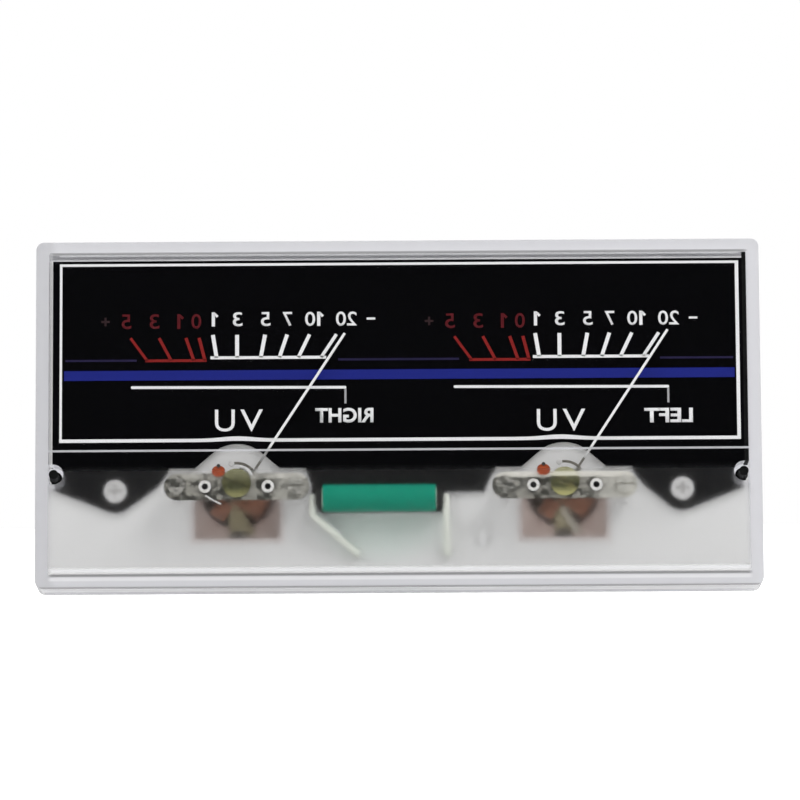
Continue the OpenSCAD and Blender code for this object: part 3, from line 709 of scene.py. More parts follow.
@dataclass(frozen=True)
class DialBlack:
    """Black paint on a plate whose cut edges stay bare and bright."""

    name: str
    paint: Colour = (0.0022, 0.0022, 0.0028)
    bare: Colour = (0.62, 0.62, 0.62)
    uneven: float = 0.3
    sideways: float = 0.7

    def make(self) -> Finish:
        """Builds the material.

        Returns:
            The material.
        """
        s = Shader(self.name)
        normal = s.add("NewGeometry").outputs["True Normal"]
        facing = s.add("SeparateXYZ", {0: normal}).outputs["Y"]
        edge = s.math("LESS_THAN", s.math("ABSOLUTE", facing), self.sideways)
        painted = s.patchy(self.paint, self.uneven, FILM)
        return s.skin(s.mix(edge, painted, self.bare), 0.7, Specular_IOR_Level=0.0)


@dataclass(frozen=True)
class LightLine:
    """A line painted into the cover along an edge, dark lines as painted shade and pale ones as
    painted highlights: heights, how milky it is, its grey, depths and ends.
    """

    low: float
    high: float
    share: float
    grey: float
    depths: Span = (-1.0, 1.0)
    ends: Span = (-57.6, 57.9)

    def trace(self, s: Shader, axes: Sequence[Socket], layout: Layout) -> Socket:
        """Tells where the line lies.

        Args:
            s: the cover's tree.
            axes: the places across, in depth and in height.
            layout: the model's shared places.

        Returns:
            1 on the line, with soft borders.
        """
        across, depth, height = axes
        soft = (self.high - self.low) / 3
        here = s.ramp(height, *mm((self.low - soft, self.low + soft)))
        here = s.times(here, s.ramp(height, *mm((self.high - soft, self.high + soft)), 1, 0))
        here = s.times(here, s.band(depth, *layout.span(self.depths)))
        for end, fade in zip(self.ends, ((0, 1), (1, 0))):
            here = s.times(here, s.ramp(across, *mm((end - 0.5, end + 0.5)), *fade))
        return here


@dataclass(frozen=True)
class ClearPlastic:
    """Clear cover plastic: polished window, matt zone inside the pane, milky side walls, painted
    lines of light and shade, and painted shade in black on the right wall and in the boss's hole.
    """

    name: str
    layout: Layout
    tint: Colour = (0.975, 0.975, 0.98)
    ior: float = 1.49
    matt_z: Span = (19.3, 20.9)
    matt_depth: Span = (1.0, 1.6)
    matt_roughness: float = 0.3
    matt_uneven: Span = (0.96, 1.04)
    milk: Colour = (0.695, 0.695, 0.722)
    wall_milk: float = 0.8
    left_shade: float = 0.88
    left_fade: float = 1.5
    window_x: Span = (-57.9, 58.05)
    window_z: Span = (2.1, 56.25)
    step_z: Span = (22.8, 23.2)
    step_depth: Span = (1.2, 2.0)
    step_milk: float = 0.72
    boss: Span = (57.0, 18.95)
    boss_r: float = 1.8
    boss_hole_r: float = 0.9
    boss_ring: Span = (0.45, 1.0)
    dark: Colour = (0.003, 0.003, 0.003)
    dark_wall_x: Span = (57.2, 58.05)
    dark_wall_z: Span = (20.6, 56.0)
    dark_wall_back: float = 7.2
    # Painted lines: pale ones are painted highlights and dark ones painted shade along the cover's
    # edges; the last stands in for light from the floor on the underside.
    light_lines: tuple[LightLine, ...] = (
        LightLine(2.45, 3.25, 0.75, 0.9),
        LightLine(1.85, 2.3, 0.9, 0.28),
        LightLine(1.15, 1.7, 0.8, 0.85),
        LightLine(55.8, 56.2, 0.85, 0.30),
        LightLine(-0.2, 0.15, 1.0, 0.33, (-1.0, 1.4), (-61.0, 61.0)),
        LightLine(-0.2, 0.15, 1.0, 0.85, (1.4, 5.0), (-61.0, 61.0)),
    )

    def make(self) -> Finish:
        """Builds the material.

        Returns:
            The material.
        """
        s, layout = Shader(self.name), self.layout
        axes = across, depth, height = s.axes()
        pane, inner = layout.span(self.matt_depth)
        left, right = mm(self.window_x)
        clear = s.times(s.band(across, left, right), s.band(height, *mm(self.window_z)))
        milk = s.times(s.math("SUBTRACT", 1.0, clear), self.wall_milk)
        step = s.band(depth, *layout.span(self.step_depth))
        step = s.times(s.band(height, *mm(self.step_z)), step)
        milk = s.math("MAXIMUM", milk, s.times(step, self.step_milk))
        at_left = s.ramp(across, left, left + self.left_fade * MM, 1, 0)
        white = s.mix(at_left, self.milk, darker(self.milk, self.left_shade))
        colour = s.mix(s.math("GREATER_THAN", milk, 0.01), self.tint, white)
        # Painted light and shade along the cover's edges.
        for light_line in self.light_lines:
            here = light_line.trace(s, axes, layout)
            colour = s.mix(here, colour, (light_line.grey, light_line.grey, light_line.grey * 1.02))
            milk = s.math("MAXIMUM", milk, s.times(here, light_line.share))

        # Painted shade: black over the right wall's inner face and in the boss's hole.
        wall = s.band(depth, pane, layout.depth(self.dark_wall_back))
        wall = s.times(wall, s.band(height, *mm(self.dark_wall_z)))
        wall = s.times(wall, s.band(across, *mm(self.dark_wall_x)))
        middle = list(zip((s.math("ABSOLUTE", across), height), mm(self.boss)))
        ring = s.distance([(value, at, self.boss_r * MM) for value, at in middle])
        hole = s.distance([(value, at, self.boss_hole_r * MM) for value, at in middle])
        on_ring = s.times(s.math("GREATER_THAN", depth, inner), s.band(ring, *self.boss_ring))
        in_hole = s.times(s.math("GREATER_THAN", depth, pane), s.math("LESS_THAN", hole, 1.0))
        black = s.math("MAXIMUM", in_hole, s.math("SUBTRACT", wall, step))
        milk = s.math("MAXIMUM", milk, s.math("MAXIMUM", on_ring, black))
        colour = s.mix(black, s.mix(on_ring, colour, self.milk), self.dark)

        below = s.ramp(height, *mm(self.matt_z), 1, 0)
        uneven = s.ramp(s.noise(700), 0.3, 0.7, *self.matt_uneven)
        matt = s.times(below, s.band(depth, pane, inner), uneven, self.matt_roughness)
        glass = s.add(
            "BsdfPrincipled",
            {
                "Base Color": colour,
                "Roughness": s.math("MAXIMUM", matt, black),
                "IOR": self.ior,
                "Transmission Weight": s.math("SUBTRACT", 1.0, milk),
            },
        )
        path = s.add("LightPath").outputs
        passing = s.math("MAXIMUM", path["Is Shadow Ray"], path["Is Diffuse Ray"])
        through = s.add("BsdfTransparent", {"Color": (*self.tint, 1)})
        mixed = s.add("MixShader", {0: passing, 1: glass.outputs[0], 2: through.outputs[0]})
        return s.close(mixed.outputs[0])


@dataclass(frozen=True)
class Glowing:
    """White moulding with a painted green glow of lamp light under the lamp and a rosy tint round
    each window.
    """

    name: str
    layout: Layout
    colour: Colour = (0.76, 0.76, 0.745)
    cloud: float = 0.04
    green: Colour = (0.68, 0.75, 0.70)
    lamp: Span = (-3.0, 11.5)
    lamp_reach: Span = (13.0, 7.5)
    rosy: Colour = (0.58, 0.50, 0.47)
    rosy_share: float = 0.8
    rosy_top: Span = (3.0, 1.0)
    rosy_reach: float = 1.5
    window_half: float = 6.9
    window_under: float = 1.4
    tint_depth: float = 16.0
    roughness: float = 0.45

    def make(self) -> Finish:
        """Builds the material.

        Returns:
            The material.
        """
        s, layout = Shader(self.name), self.layout
        across, depth, height = s.axes()
        front = s.math("LESS_THAN", depth, layout.depth(self.tint_depth))
        # Painted light: the green lamp's glow on the moulding in front of the tub.
        far = s.distance(list(zip((across, height), mm(self.lamp), mm(self.lamp_reach))))
        clouded = s.patchy(self.colour, self.cloud, CLOUDS, 4)
        colour = s.mix(s.times(s.ramp(far, 0, 1, 1, 0), front), clouded, self.green)
        for side in Side:
            pivot = layout.pivot(side)
            beside = s.away(across, pivot.x)
            above = s.away(height, pivot.z - self.window_under * MM)
            past = s.math("SUBTRACT", s.math("MAXIMUM", beside, above), self.window_half * MM)
            low, high = (pivot.z - down for down in mm(self.rosy_top))
            under = s.ramp(height, low, high, self.rosy_share, 0)
            near = s.times(s.ramp(past, 0, self.rosy_reach * MM, 1, 0), front)
            colour = s.mix(s.times(near, under), colour, self.rosy)
        return s.skin(colour, self.roughness, Normal=s.grain())


# ---- the dial's print ----


class Ink(Enum):
    """The printed inks, each with its colour."""

    WHITE = (0.92, 0.92, 0.92)
    THIN = (0.42, 0.42, 0.43)
    RED = (0.26, 0.014, 0.012)
    DEEP_RED = (0.12, 0.008, 0.012)
    FAINT_RED = (0.035, 0.016, 0.018)
    BLUE = (0.010, 0.018, 0.225)
    VIOLET = (0.02, 0.015, 0.06)


class Glyph(Enum):
    """How a sign is made: from the font, or from straight strokes."""

    FONT = "font"
    ONE = "one"
    PLUS = "plus"
    MINUS = "minus"


@dataclass(frozen=True)
class Word:
    """A printed word: its middle, its height and width, and how bold it is."""

    text: str
    x: float
    z: float
    height: float
    width: float
    weight: float = 0.0


@dataclass(frozen=True)
class Numeral:
    """One sign over a scale: its middle beside the scale's middle, its width and its kind."""

    text: str
    x: float
    width: float
    kind: Glyph = Glyph.FONT


@dataclass(frozen=True)
class Stroke:
    """A straight stroke: its middle, its length along X and its width."""

    x: float
    z: float
    length: float
    width: float


@dataclass(frozen=True)
class Band:
    """The ticks and numerals of one colour on both scales."""

    ink: Ink
    numeral_ink: Ink
    middles: Span
    bottom: float
    top: float
    tick_w: float
    angles: tuple[float, ...]
    base: Span
    base_h: float
    numerals: tuple[Numeral, ...]
    numeral_z: float
    numeral_h: float


WHITE_BAND = Band(
    ink=Ink.WHITE,
    numeral_ink=Ink.WHITE,
    middles=(-26.85, 26.955),
    bottom=39.6,
    top=43.48,
    tick_w=0.65,
    angles=(-9.2, 0.0, 10.6, 18.5, 25.85, 33.6),
    base=(-4.45, 14.88),
    base_h=0.5,
    numerals=(
        Numeral("1", -3.96, 0.54, Glyph.ONE),
        Numeral("3", 0.09, 1.6),
        Numeral("5", 4.78, 1.6),
        Numeral("7", 8.4, 1.6),
        Numeral("0", 12.2, 1.68),
        Numeral("1", 13.64, 0.54, Glyph.ONE),
        Numeral("20", 18.25, 3.48),
        Numeral("-", 22.37, 1.43, Glyph.MINUS),
    ),
    numeral_z=46.12,
    numeral_h=2.4,
)
RED_BAND = Band(
    ink=Ink.RED,
    numeral_ink=Ink.DEEP_RED,
    middles=(-26.95, 27.1),
    bottom=39.15,
    top=43.0,
    tick_w=0.55,
    angles=(-35.8, -27.8, -19.0, -14.3),
    base=(-15.2, -5.0),
    base_h=0.46,
    numerals=(
        Numeral("+", -21.87, 1.45, Glyph.PLUS),
        Numeral("5", -18.38, 1.6),
        Numeral("3", -13.68, 1.6),
        Numeral("1", -9.63, 0.5, Glyph.ONE),
        Numeral("0", -6.71, 1.65),
    ),
    numeral_z=45.8,
    numeral_h=2.5,
)


@dataclass
class DialPrint:
    """Everything that is printed on the dial plate, mirrored as in the photograph."""

    thickness: float = 0.02
    axis_z: float = 18.5
    right_drop: float = 0.15
    tick_drop: float = 0.7
    sign_w: float = 0.36
    flag: Stroke = Stroke(0.45, -0.5, 0.75, 0.42)
    words: tuple[Word, ...] = (
        Word("RIGHT", -9.0, 29.75, 2.5, 9.7, 0.03),
        Word("LEFT", 45.0, 29.45, 2.45, 8.1, 0.03),
        Word("U", -28.9, 28.97, 3.7, 3.3),
        Word("V", -24.44, 28.97, 3.7, 3.75),
        Word("U", 24.71, 28.76, 3.7, 3.3),
        Word("V", 29.25, 28.76, 3.7, 3.75),
    )
    numeral_weight: float = 0.01
    frame_lines: tuple[Stroke, ...] = (
        Stroke(-56.26, 40.5, 0.42, 30.3),
        Stroke(56.7, 40.5, 0.6, 30.3),
        Stroke(0.22, 55.43, 113.4, 0.42),
    )
    bottom_line: Stroke = Stroke(0.22, 25.63, 113.4, 0.57)
    bottom_steps: int = 228
    swell_h: float = 0.38
    swell_half: float = 3.6
    rule: Stroke = Stroke(0.25, 34.63, 35.9, 0.46)
    rule_corner: float = 0.2
    hook: Stroke = Stroke(18.05, 33.0, 0.34, 2.5)
    blue: Stroke = Stroke(0.2, 36.65, 111.8, 1.65)
    violet: tuple[Span, ...] = ((-55.5, -43.6), (-10.0, 10.2), (43.7, 55.9))
    violet_z: float = 39.2
    violet_w: float = 0.35
    strokes: dict[Ink, list[Piece]] = field(default_factory=lambda: {ink: [] for ink in Ink})

    @property
    def surface(self) -> float:
        """Y of the front of the ink."""
        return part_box("dial_plate")[0][1] - self.thickness * MM

    def make(self) -> None:
        """Prints the whole dial."""
        for band in (WHITE_BAND, RED_BAND):
            for side in Side:
                self.lay_scale(band, side)
                self.lay_signs(band, side)
        for word in self.words:
            self.lay_text(Ink.WHITE, word)
        self.lay_lines()
        for ink, bars in self.strokes.items():
            piece = join(bars)
            modify(piece, "SOLIDIFY", thickness=self.thickness * MM, offset=-1)
            name = ink.name.lower()
            material = Paint(f"{name}_ink", ink.value).make()
            hand_over(piece, f"dial_print_{name}", material, METER)

    def lay(self, ink: Ink, stroke: Stroke, lean: float = 0.0, steps: int = 1) -> Piece:
        """Lays one straight stroke.

        Args:
            ink: its colour.
            stroke: its place and size.
            lean: how far it is turned clockwise, in degrees.
            steps: how many faces it has along its length.

        Returns:
            A flat strip, facing the front.
        """
        bpy.ops.mesh.primitive_grid_add(
            x_subdivisions=steps,
            y_subdivisions=1,
            size=1,
            location=(stroke.x * MM, self.surface, stroke.z * MM),
            rotation=(math.pi / 2, math.radians(lean), 0),
        )
        piece = bpy.context.object
        piece.scale = (stroke.length * MM, stroke.width * MM, 1)
        set_down(piece)
        self.strokes[ink].append(piece)
        return piece

    def lay_scale(self, band: Band, side: Side) -> None:
        """Lays the ticks and the base line of one colour on one scale.

        Args:
            band: the colour's ticks.
            side: the movement whose scale it is.
        """
        middle = side.pick(band.middles)
        bottom = band.bottom - side.pick((0, self.right_drop * self.tick_drop))
        low, high = bottom - self.axis_z, band.top - self.axis_z
        half = (low + high) / 2
        for angle in band.angles:
            lean = math.radians(angle)
            x = middle + half * math.tan(lean)
            length, width = (high - low) / math.cos(lean), band.tick_w * math.cos(lean)
            self.lay(band.ink, Stroke(x, self.axis_z + half, length, width), angle - 90)
        start, end = band.base
        self.lay(band.ink, Stroke(middle + (start + end) / 2, bottom, end - start, band.base_h))

    def lay_signs(self, band: Band, side: Side) -> None:
        """Lays the numerals and the sign at the end of one scale.

        Args:
            band: the colour's numerals.
            side: the movement whose scale it is.
        """
        ink, height = band.numeral_ink, band.numeral_h
        z = band.numeral_z - side.pick((0, self.right_drop))
        for sign in band.numerals:
            x = side.pick(band.middles) + sign.x
            if sign.kind is Glyph.ONE:
                self.lay(ink, Stroke(x, z, sign.width, height))
                flag, top = self.flag, z + height / 2
                self.lay(ink, Stroke(x + flag.x, top + flag.z, flag.length, flag.width), 45)
            elif sign.kind is Glyph.PLUS:
                self.lay(Ink.FAINT_RED, Stroke(x, z, sign.width, self.sign_w))
                length = (sign.width - self.sign_w) / 2
                off = (sign.width + self.sign_w) / 4
                for middle in (z + off, z - off):
                    self.lay(Ink.FAINT_RED, Stroke(x, middle, self.sign_w, length))
            elif sign.kind is Glyph.MINUS:
                self.lay(ink, Stroke(x, z, sign.width, self.sign_w))
            else:
                word = Word(sign.text, x, z, height, sign.width, self.numeral_weight)
                self.lay_text(ink, word)

    def lay_text(self, ink: Ink, word: Word) -> None:
        """Lays one word, fitted to its printed size and mirrored.

        Args:
            ink: its colour.
            word: what is printed, and where.
        """
        bpy.ops.object.text_add()
        piece = bpy.context.object
        piece.data.body = word.text
        piece.data.resolution_u = 6
        piece.data.offset = word.weight
        piece = to_mesh(piece)
        xs = [v.co.x for v in piece.data.vertices]
        ys = [v.co.y for v in piece.data.vertices]
        middle = Vector(((min(xs) + max(xs)) / 2, (min(ys) + max(ys)) / 2, 0))
        wide = word.width * MM / (max(xs) - min(xs))
        tall = word.height * MM / (max(ys) - min(ys))
        piece.data.transform(
            Matrix.Translation((word.x * MM, self.surface, word.z * MM))
            @ Matrix.Rotation(math.pi / 2, 4, "X")
            @ Matrix.Diagonal((-wide, tall, 1, 1))
            @ Matrix.Translation(-middle)
        )
        open_all(piece)
        bpy.ops.mesh.flip_normals()
        bpy.ops.object.mode_set(mode="OBJECT")
        self.strokes[ink].append(piece)

    def lay_lines(self) -> None:
        """Lays the frame, the coloured bands and the rules under the scales."""
        for line in self.frame_lines:
            self.lay(Ink.WHITE, line)
        self.lay_bottom_line()
        for side in Side:
            middle, drop = side.pick(WHITE_BAND.middles), side.pick((0, self.right_drop))
            self.lay_rule(middle, drop)
            hook = self.hook
            self.lay(Ink.THIN, Stroke(middle + hook.x, hook.z - drop, hook.length, hook.width))
        self.lay(Ink.BLUE, self.blue)
        for start, end in self.violet:
            line = Stroke((start + end) / 2, self.violet_z, end - start, self.violet_w)
            self.lay(Ink.VIOLET, line)

    def lay_rule(self, middle: float, drop: float) -> None:
        """Lays the rule under one scale, with rounded ends, a little lower at the right.

        Args:
            middle: the scale's middle.
            drop: how much lower this side's rule lies.
        """
        rule = self.rule
        line = Stroke(middle + rule.x, rule.z - drop, rule.length, rule.width)
        piece = self.lay(Ink.WHITE, line)
        open_all(piece)
        bpy.ops.mesh.select_mode(type="VERT")
        bpy.ops.mesh.bevel(offset=self.rule_corner * MM, segments=4, affect="VERTICES")
        bpy.ops.object.mode_set(mode="OBJECT")
        for vertex in piece.data.vertices:
            if vertex.co.x > middle * MM:
                vertex.co.z -= self.right_drop * MM

    def lay_bottom_line(self) -> None:
        """Lays the frame's bottom line, which swells a little over each hub."""
        line = self.bottom_line
        piece = self.lay(Ink.WHITE, line, steps=self.bottom_steps)
        for vertex in piece.data.vertices:
            for middle in WHITE_BAND.middles:
                away = (vertex.co.x / MM - middle) / self.swell_half
                swell = self.swell_h * MM * math.exp(-away * away)
                vertex.co.z += swell if vertex.co.z > line.z * MM else swell / 2


# ---- assemblies ----


@dataclass
class Cover:
    """The clear box cover with its softened edges."""

    edge: float = 0.22
    edge_angle: float = 35.0
    seat_gap: float = 0.02
    seat_depth: float = 0.01

    def make(self, material: Finish) -> None:
        """Copies the model's cover, rounds its edges and lifts it just off the base.

        Args:
            material: the clear plastic.
        """
        piece = frame["nodes"]["front_cover"].copy()
        piece.data = piece.data.copy()
        bpy.context.collection.objects.link(piece)
        open_all(piece)
        bpy.ops.mesh.remove_doubles(threshold=WELD)
        bpy.ops.mesh.dissolve_limited(angle_limit=FLAT)
        bpy.ops.object.mode_set(mode="OBJECT")
        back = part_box("front_cover")[1][1]
        for vertex in piece.data.vertices:
            if vertex.co.y > back - self.seat_depth * MM:
                vertex.co.y -= self.seat_gap * MM
        round_off(piece, self.edge, self.edge_angle)
        hand_over(piece, "cover", material, METER, ["front_cover"])


@dataclass
class Fittings:
    """The smallest parts: pins, spring ends, lead foils, a bare wire, a pip and a sleeve."""

    layout: Layout
    lever_r: float = 3.55
    lever_angle: float = 14.0
    lever_front: float = 3.28
    pin_r: float = 0.5
    pin_h: float = 0.25
    tab_x: Span = (-2.95, -3.5)
    tab_z: float = 2.9
    tab_seat: float = 0.02
    tab_r: float = 0.3
    tab_h: float = 0.2
    foil: tuple[Span, ...] = ((-0.1, 14.9), (0.7, 13.2), (1.7, 11.6), (2.5, 10.4))
    foil_w: float = 1.15
    foil_t: float = 0.12
    foil_gap: float = 0.15
    foil_finishes: tuple[str, str] = ("brass", "foil")
    wire: tuple[Spot, ...] = ((-32.0, 2.2, 15.6), (-31.0, 2.2, 14.95), (-29.4, 2.2, 14.1))
    wire_r: float = 0.15
    shoe_arc_r: float = 2.85
    shoe_angles: tuple[float, ...] = (12.0, 24.5, 37.0, 49.5, 62.0)
    shoe_depth: float = 2.6
    shoe_r: float = 0.34
    pip: Spot = (13.9, 8.0, 8.4)
    pip_r: float = 0.55
    pip_h: float = 0.5
    sleeve: tuple[Spot, ...] = ((-14.7, 7.2, 14.3), (-12.4, 7.2, 11.7), (-9.7, 7.2, 9.2))
    sleeve_r: float = 0.8

    def make(self, finishes: dict[str, Finish]) -> None:
        """Makes all the fittings.

        Args:
            finishes: a material for each name.
        """
        zinc, white = finishes["zinc"], finishes["bright_white"]
        tab_front = self.layout.behind(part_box("spring_tabs")[0][1]) + self.tab_seat
        for side in Side:
            name = side.value
            # A real pin on each lever, its pale zinc head also standing in for a glint: a painted
            # highlight.
            foot = self.around(side, self.lever_r, -self.lever_angle, self.lever_front)
            pin = self.pin(foot, self.pin_r, self.pin_h)
            hand_over(pin, f"lever_pin_{name}", zinc, f"zero_lever_{name}")
            x, z = (place / MM for place in self.layout.pivot(side).xz)
            foot = (x + side.pick(self.tab_x), tab_front, z + self.tab_z)
            tip = self.pin(foot, self.tab_r, self.tab_h)
            hand_over(tip, f"spring_tip_{name}", finishes["solder"], METER)
            over = self.layout.behind(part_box(f"core_bracket_{side.value}")[0][1]) - self.foil_gap
            foil = self.strip([(x + right, over, up) for right, up in self.foil])
            tone = finishes[side.pick(self.foil_finishes)]
            hand_over(foil, f"lead_foil_{name}", tone, METER)
        wire = self.rod(self.wire, self.wire_r)
        hand_over(wire, "loose_wire", zinc, METER)
        # The shoe is a pale zinc arc that stands in for the bright crescent beside the left cap: a
        # painted highlight.
        arc = [
            self.around(Side.LEFT, self.shoe_arc_r, angle, self.shoe_depth)
            for angle in self.shoe_angles
        ]
        shoe = self.rod(arc, self.shoe_r)
        hand_over(shoe, "lever_shoe", zinc, "zero_lever_left")
        # The pip's bright white paint stands in for a glint on the moulding: a painted highlight.
        pip = self.pin(self.pip, self.pip_r, self.pip_h)
        hand_over(pip, "moulded_pip", white, METER)
        sleeve = self.rod(self.sleeve, self.sleeve_r)
        hand_over(sleeve, "lead_sleeve", white, METER)

    def around(self, side: Side, radius: float, degrees: float, depth: float) -> Spot:
        """Gives a place on a circle round a needle's axis.

        Args:
            side: the movement.
            radius: the circle's radius.
            degrees: the angle to the right of upright.
            depth: how far behind the front face it lies.

        Returns:
            The place across, in depth and in height.
        """
        pivot, turn = self.layout.pivot(side), math.radians(degrees)
        x = pivot.x / MM + radius * math.sin(turn)
        return (x, depth, pivot.z / MM + radius * math.cos(turn))

    def pin(self, foot: Spot, radius: float, height: float) -> Piece:
        """Makes a pin with a rounded head that points to the front.

        Args:
            foot: the middle of its foot.
            radius: its radius.
            height: how far it stands out.

        Returns:
            The pin.
        """
        bpy.ops.mesh.primitive_cylinder_add(
            vertices=32,
            radius=radius * MM,
            depth=height * MM,
            location=self.layout.spot(foot) - Vector((0, height / 2 * MM, 0)),
            rotation=(math.pi / 2, 0, 0),
        )
        piece = bpy.context.object
        set_down(piece)
        round_off(piece, min(radius, height) * 0.45, 40)
        return piece

    def path(self, points: Sequence[Spot]) -> Piece:
        """Lays a smooth curve through places.

        Args:
            points: places across, in depth and in height.

        Returns:
            The curve object.
        """
        data = bpy.data.curves.new("path", "CURVE")
        data.dimensions = "3D"
        data.resolution_u = 10
        spline = data.splines.new("BEZIER")
        spline.bezier_points.add(len(points) - 1)
        for point, place in zip(spline.bezier_points, points):
            point.co = self.layout.spot(place)
            point.handle_left_type = point.handle_right_type = "AUTO"
        piece = bpy.data.objects.new("path", data)
        bpy.context.collection.objects.link(piece)
        return piece

    def rod(self, points: Sequence[Spot], radius: float) -> Piece:
        """Makes a round wire through places.

        Args:
            points: places across, in depth and in height.
            radius: the wire's radius.

        Returns:
            The wire as a mesh.
        """
        piece = self.path(points)
        piece.data.bevel_depth = radius * MM
        piece.data.bevel_resolution = 4
        piece.data.use_fill_caps = True
        return to_mesh(piece)

    def strip(self, points: Sequence[Spot]) -> Piece:
        """Makes a thin foil through places, flat towards the front.

        Args:
            points: places across, in depth and in height.

        Returns:
            The foil as a mesh.
        """
        piece = self.path(points)
        piece.data.extrude = self.foil_w / 2 * MM
        piece.data.twist_mode = "Z_UP"
        piece = to_mesh(piece)
        modify(piece, "SOLIDIFY", thickness=self.foil_t * MM, offset=0)
        return piece


@dataclass
class Parts:
    """Paints the model's own nodes and softens their edges."""

    finishes: dict[str, Finish]
    soft: tuple[tuple[str, float], ...] = (
        ("base_body", 0.2),
        ("rear_cover", 0.2),
        ("rear_cover_screws", 0.12),
        ("dial_screws", 0.15),
        ("bridge_screws", 0.1),
        ("bridge_rivets", 0.08),
        ("lamp_holders", 0.1),
        ("lamp_tags", 0.08),
        ("movement_tags", 0.08),
    )
    soft_pairs: tuple[tuple[str, float], ...] = (
        ("front_bridge", 0.1),
        ("front_jewel_screw", 0.18),
        ("yoke", 0.15),
        ("rear_bridge", 0.1),
        ("coil_winding", 0.25),
    )
    own: tuple[tuple[str, str], ...] = (
        ("dial_plate", "dial_black"),
        ("dial_screws", "zinc"),
        ("bridge_screws", "mottled_lit_screw"),
        ("spring_tabs", "bright_copper"),
    )

    def make(self) -> None:
        """Paints every node by its slot or with its own finish, then softens what shows."""
        for subpart in frame["record"]["subparts"]:
            paint(frame["nodes"][subpart["node"]], self.finishes[subpart["material_slot"]])
        for node, finish in self.own:
            paint(frame["nodes"][node], self.finishes[finish])
        for node, width in self.soft:
            soften(node, width)
        for name, width in self.soft_pairs:
            for side in Side:
                soften(f"{name}_{side.value}", width)


def make_finishes(layout: Layout) -> dict[str, Finish]:
    """Makes the finish of each of the record's material slots, and a few more.

    Args:
        layout: the model's shared places.

    Returns:
        A material for each name.
    """
    strip_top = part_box(f"front_bridge_{Side.LEFT.value}")[1][2]
    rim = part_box("bridge_rivets")[0][1] + 0.25 * MM
    pivots = [layout.pivot(side) for side in Side]
    axis_z = pivots[0].z
    finishes = [
        Paint("black_print", (0.0022, 0.0022, 0.0028), 0.7, 0.0, 0.3),
        Paint("green_sleeve", (0.0, 0.275, 0.17), 0.5, 0.05, 0.2),
        Moulded("bulb_glass", (0.5, 0.6, 0.5), 0.1),
        Moulded("black_plastic", (0.012, 0.012, 0.012), 0.4),
        Moulded("white_insulation", (0.80, 0.83, 0.74), 0.35),
        Moulded("red_insulation", (0.45, 0.03, 0.02), 0.35),
        Metal("tinned_metal", (0.72, 0.70, 0.65), (0.55, 0.53, 0.48)),
        Metal("screw_steel", (0.80, 0.78, 0.72), (0.42, 0.40, 0.34), 0.22),
        Metal("zinc", (0.78, 0.775, 0.76), (0.6, 0.595, 0.58), 0.35, metallic=0.2),
        RivetMetal(
            "bright_rivet", (0.9, 0.89, 0.86), (0.75, 0.74, 0.7), 0.35, metallic=0.25, rim=rim
        ),
        LitBorderIron(
            "plated_iron", (0.66, 0.50, 0.45), (0.52, 0.38, 0.33), 0.5, 600, metallic=0.05,
            middles=tuple(pivot.x for pivot in pivots), middle_z=axis_z - 1.4 * MM,
        ),
        # Painted light: the magnet's colour is lightened to take the shade out of the yokes'
        # openings.
        Metal("magnet", (0.34, 0.28, 0.24), (0.22, 0.18, 0.15), 0.5, metallic=0.2),
        MottledStrip(
            "bridge_metal", (0.38, 0.37, 0.32), (0.055, 0.055, 0.042), 0.35, 750, 0.09,
            dulling=0.25, relief=0.03, edge_top=strip_top,
        ),
        # The bridge screws get the strips' zones of painted light and shade; their highlight band
        # lies far above them, so it never shows.
        MottledStrip(
            "mottled_lit_screw", (0.42, 0.41, 0.37), (0.08, 0.08, 0.065), 0.35, spread=0.12, edge_top=1.0
        ),
        Metal("brass", (0.58, 0.52, 0.34), (0.38, 0.33, 0.19), 0.4, metallic=0.25),
        Metal("copper", (0.33, 0.14, 0.08), (0.16, 0.07, 0.04), 0.45, metallic=0.2),
        Metal("bright_copper", (0.58, 0.11, 0.03), (0.36, 0.06, 0.02), 0.35, metallic=0.4),
        DomedCap(
            "olive_cap", (0.15, 0.135, 0.05), (0.05, 0.055, 0.018), 0.2, 520, 0.16,
            metallic=0.0, dulling=0.15, relief=0.03, axis_z=axis_z,
        ),
        Metal("lever_metal", (0.30, 0.28, 0.24), (0.1, 0.1, 0.08), 0.4, metallic=0.4),
        Metal("bronze_spring", (0.5, 0.36, 0.16), (0.3, 0.2, 0.08)),
        Metal("bare_aluminium", (0.7, 0.69, 0.66), (0.5, 0.49, 0.46)),
        Metal("solder", (0.10, 0.095, 0.085), (0.05, 0.05, 0.045), metallic=0.5),
        Metal("foil", (0.84, 0.81, 0.70), (0.7, 0.66, 0.54), 0.4, metallic=0.1),
        Paint("bright_white", (0.95, 0.95, 0.95), 0.3, 0.5),
        Paint("dark_root", (0.19, 0.18, 0.16), 0.4),
        NeedlePaint("white_needle"),
        DialBlack("dial_black"),
        ClearPlastic("clear_plastic", layout),
        Glowing("white_plastic", layout),
    ]
    return {finish.name: finish.make() for finish in finishes}


# ---- studio ----


@dataclass(frozen=True)
class Softbox:
    """One soft lamp: where it stands, its size and its power in watts."""

    name: str
    place: Spot
    size: float
    power: float


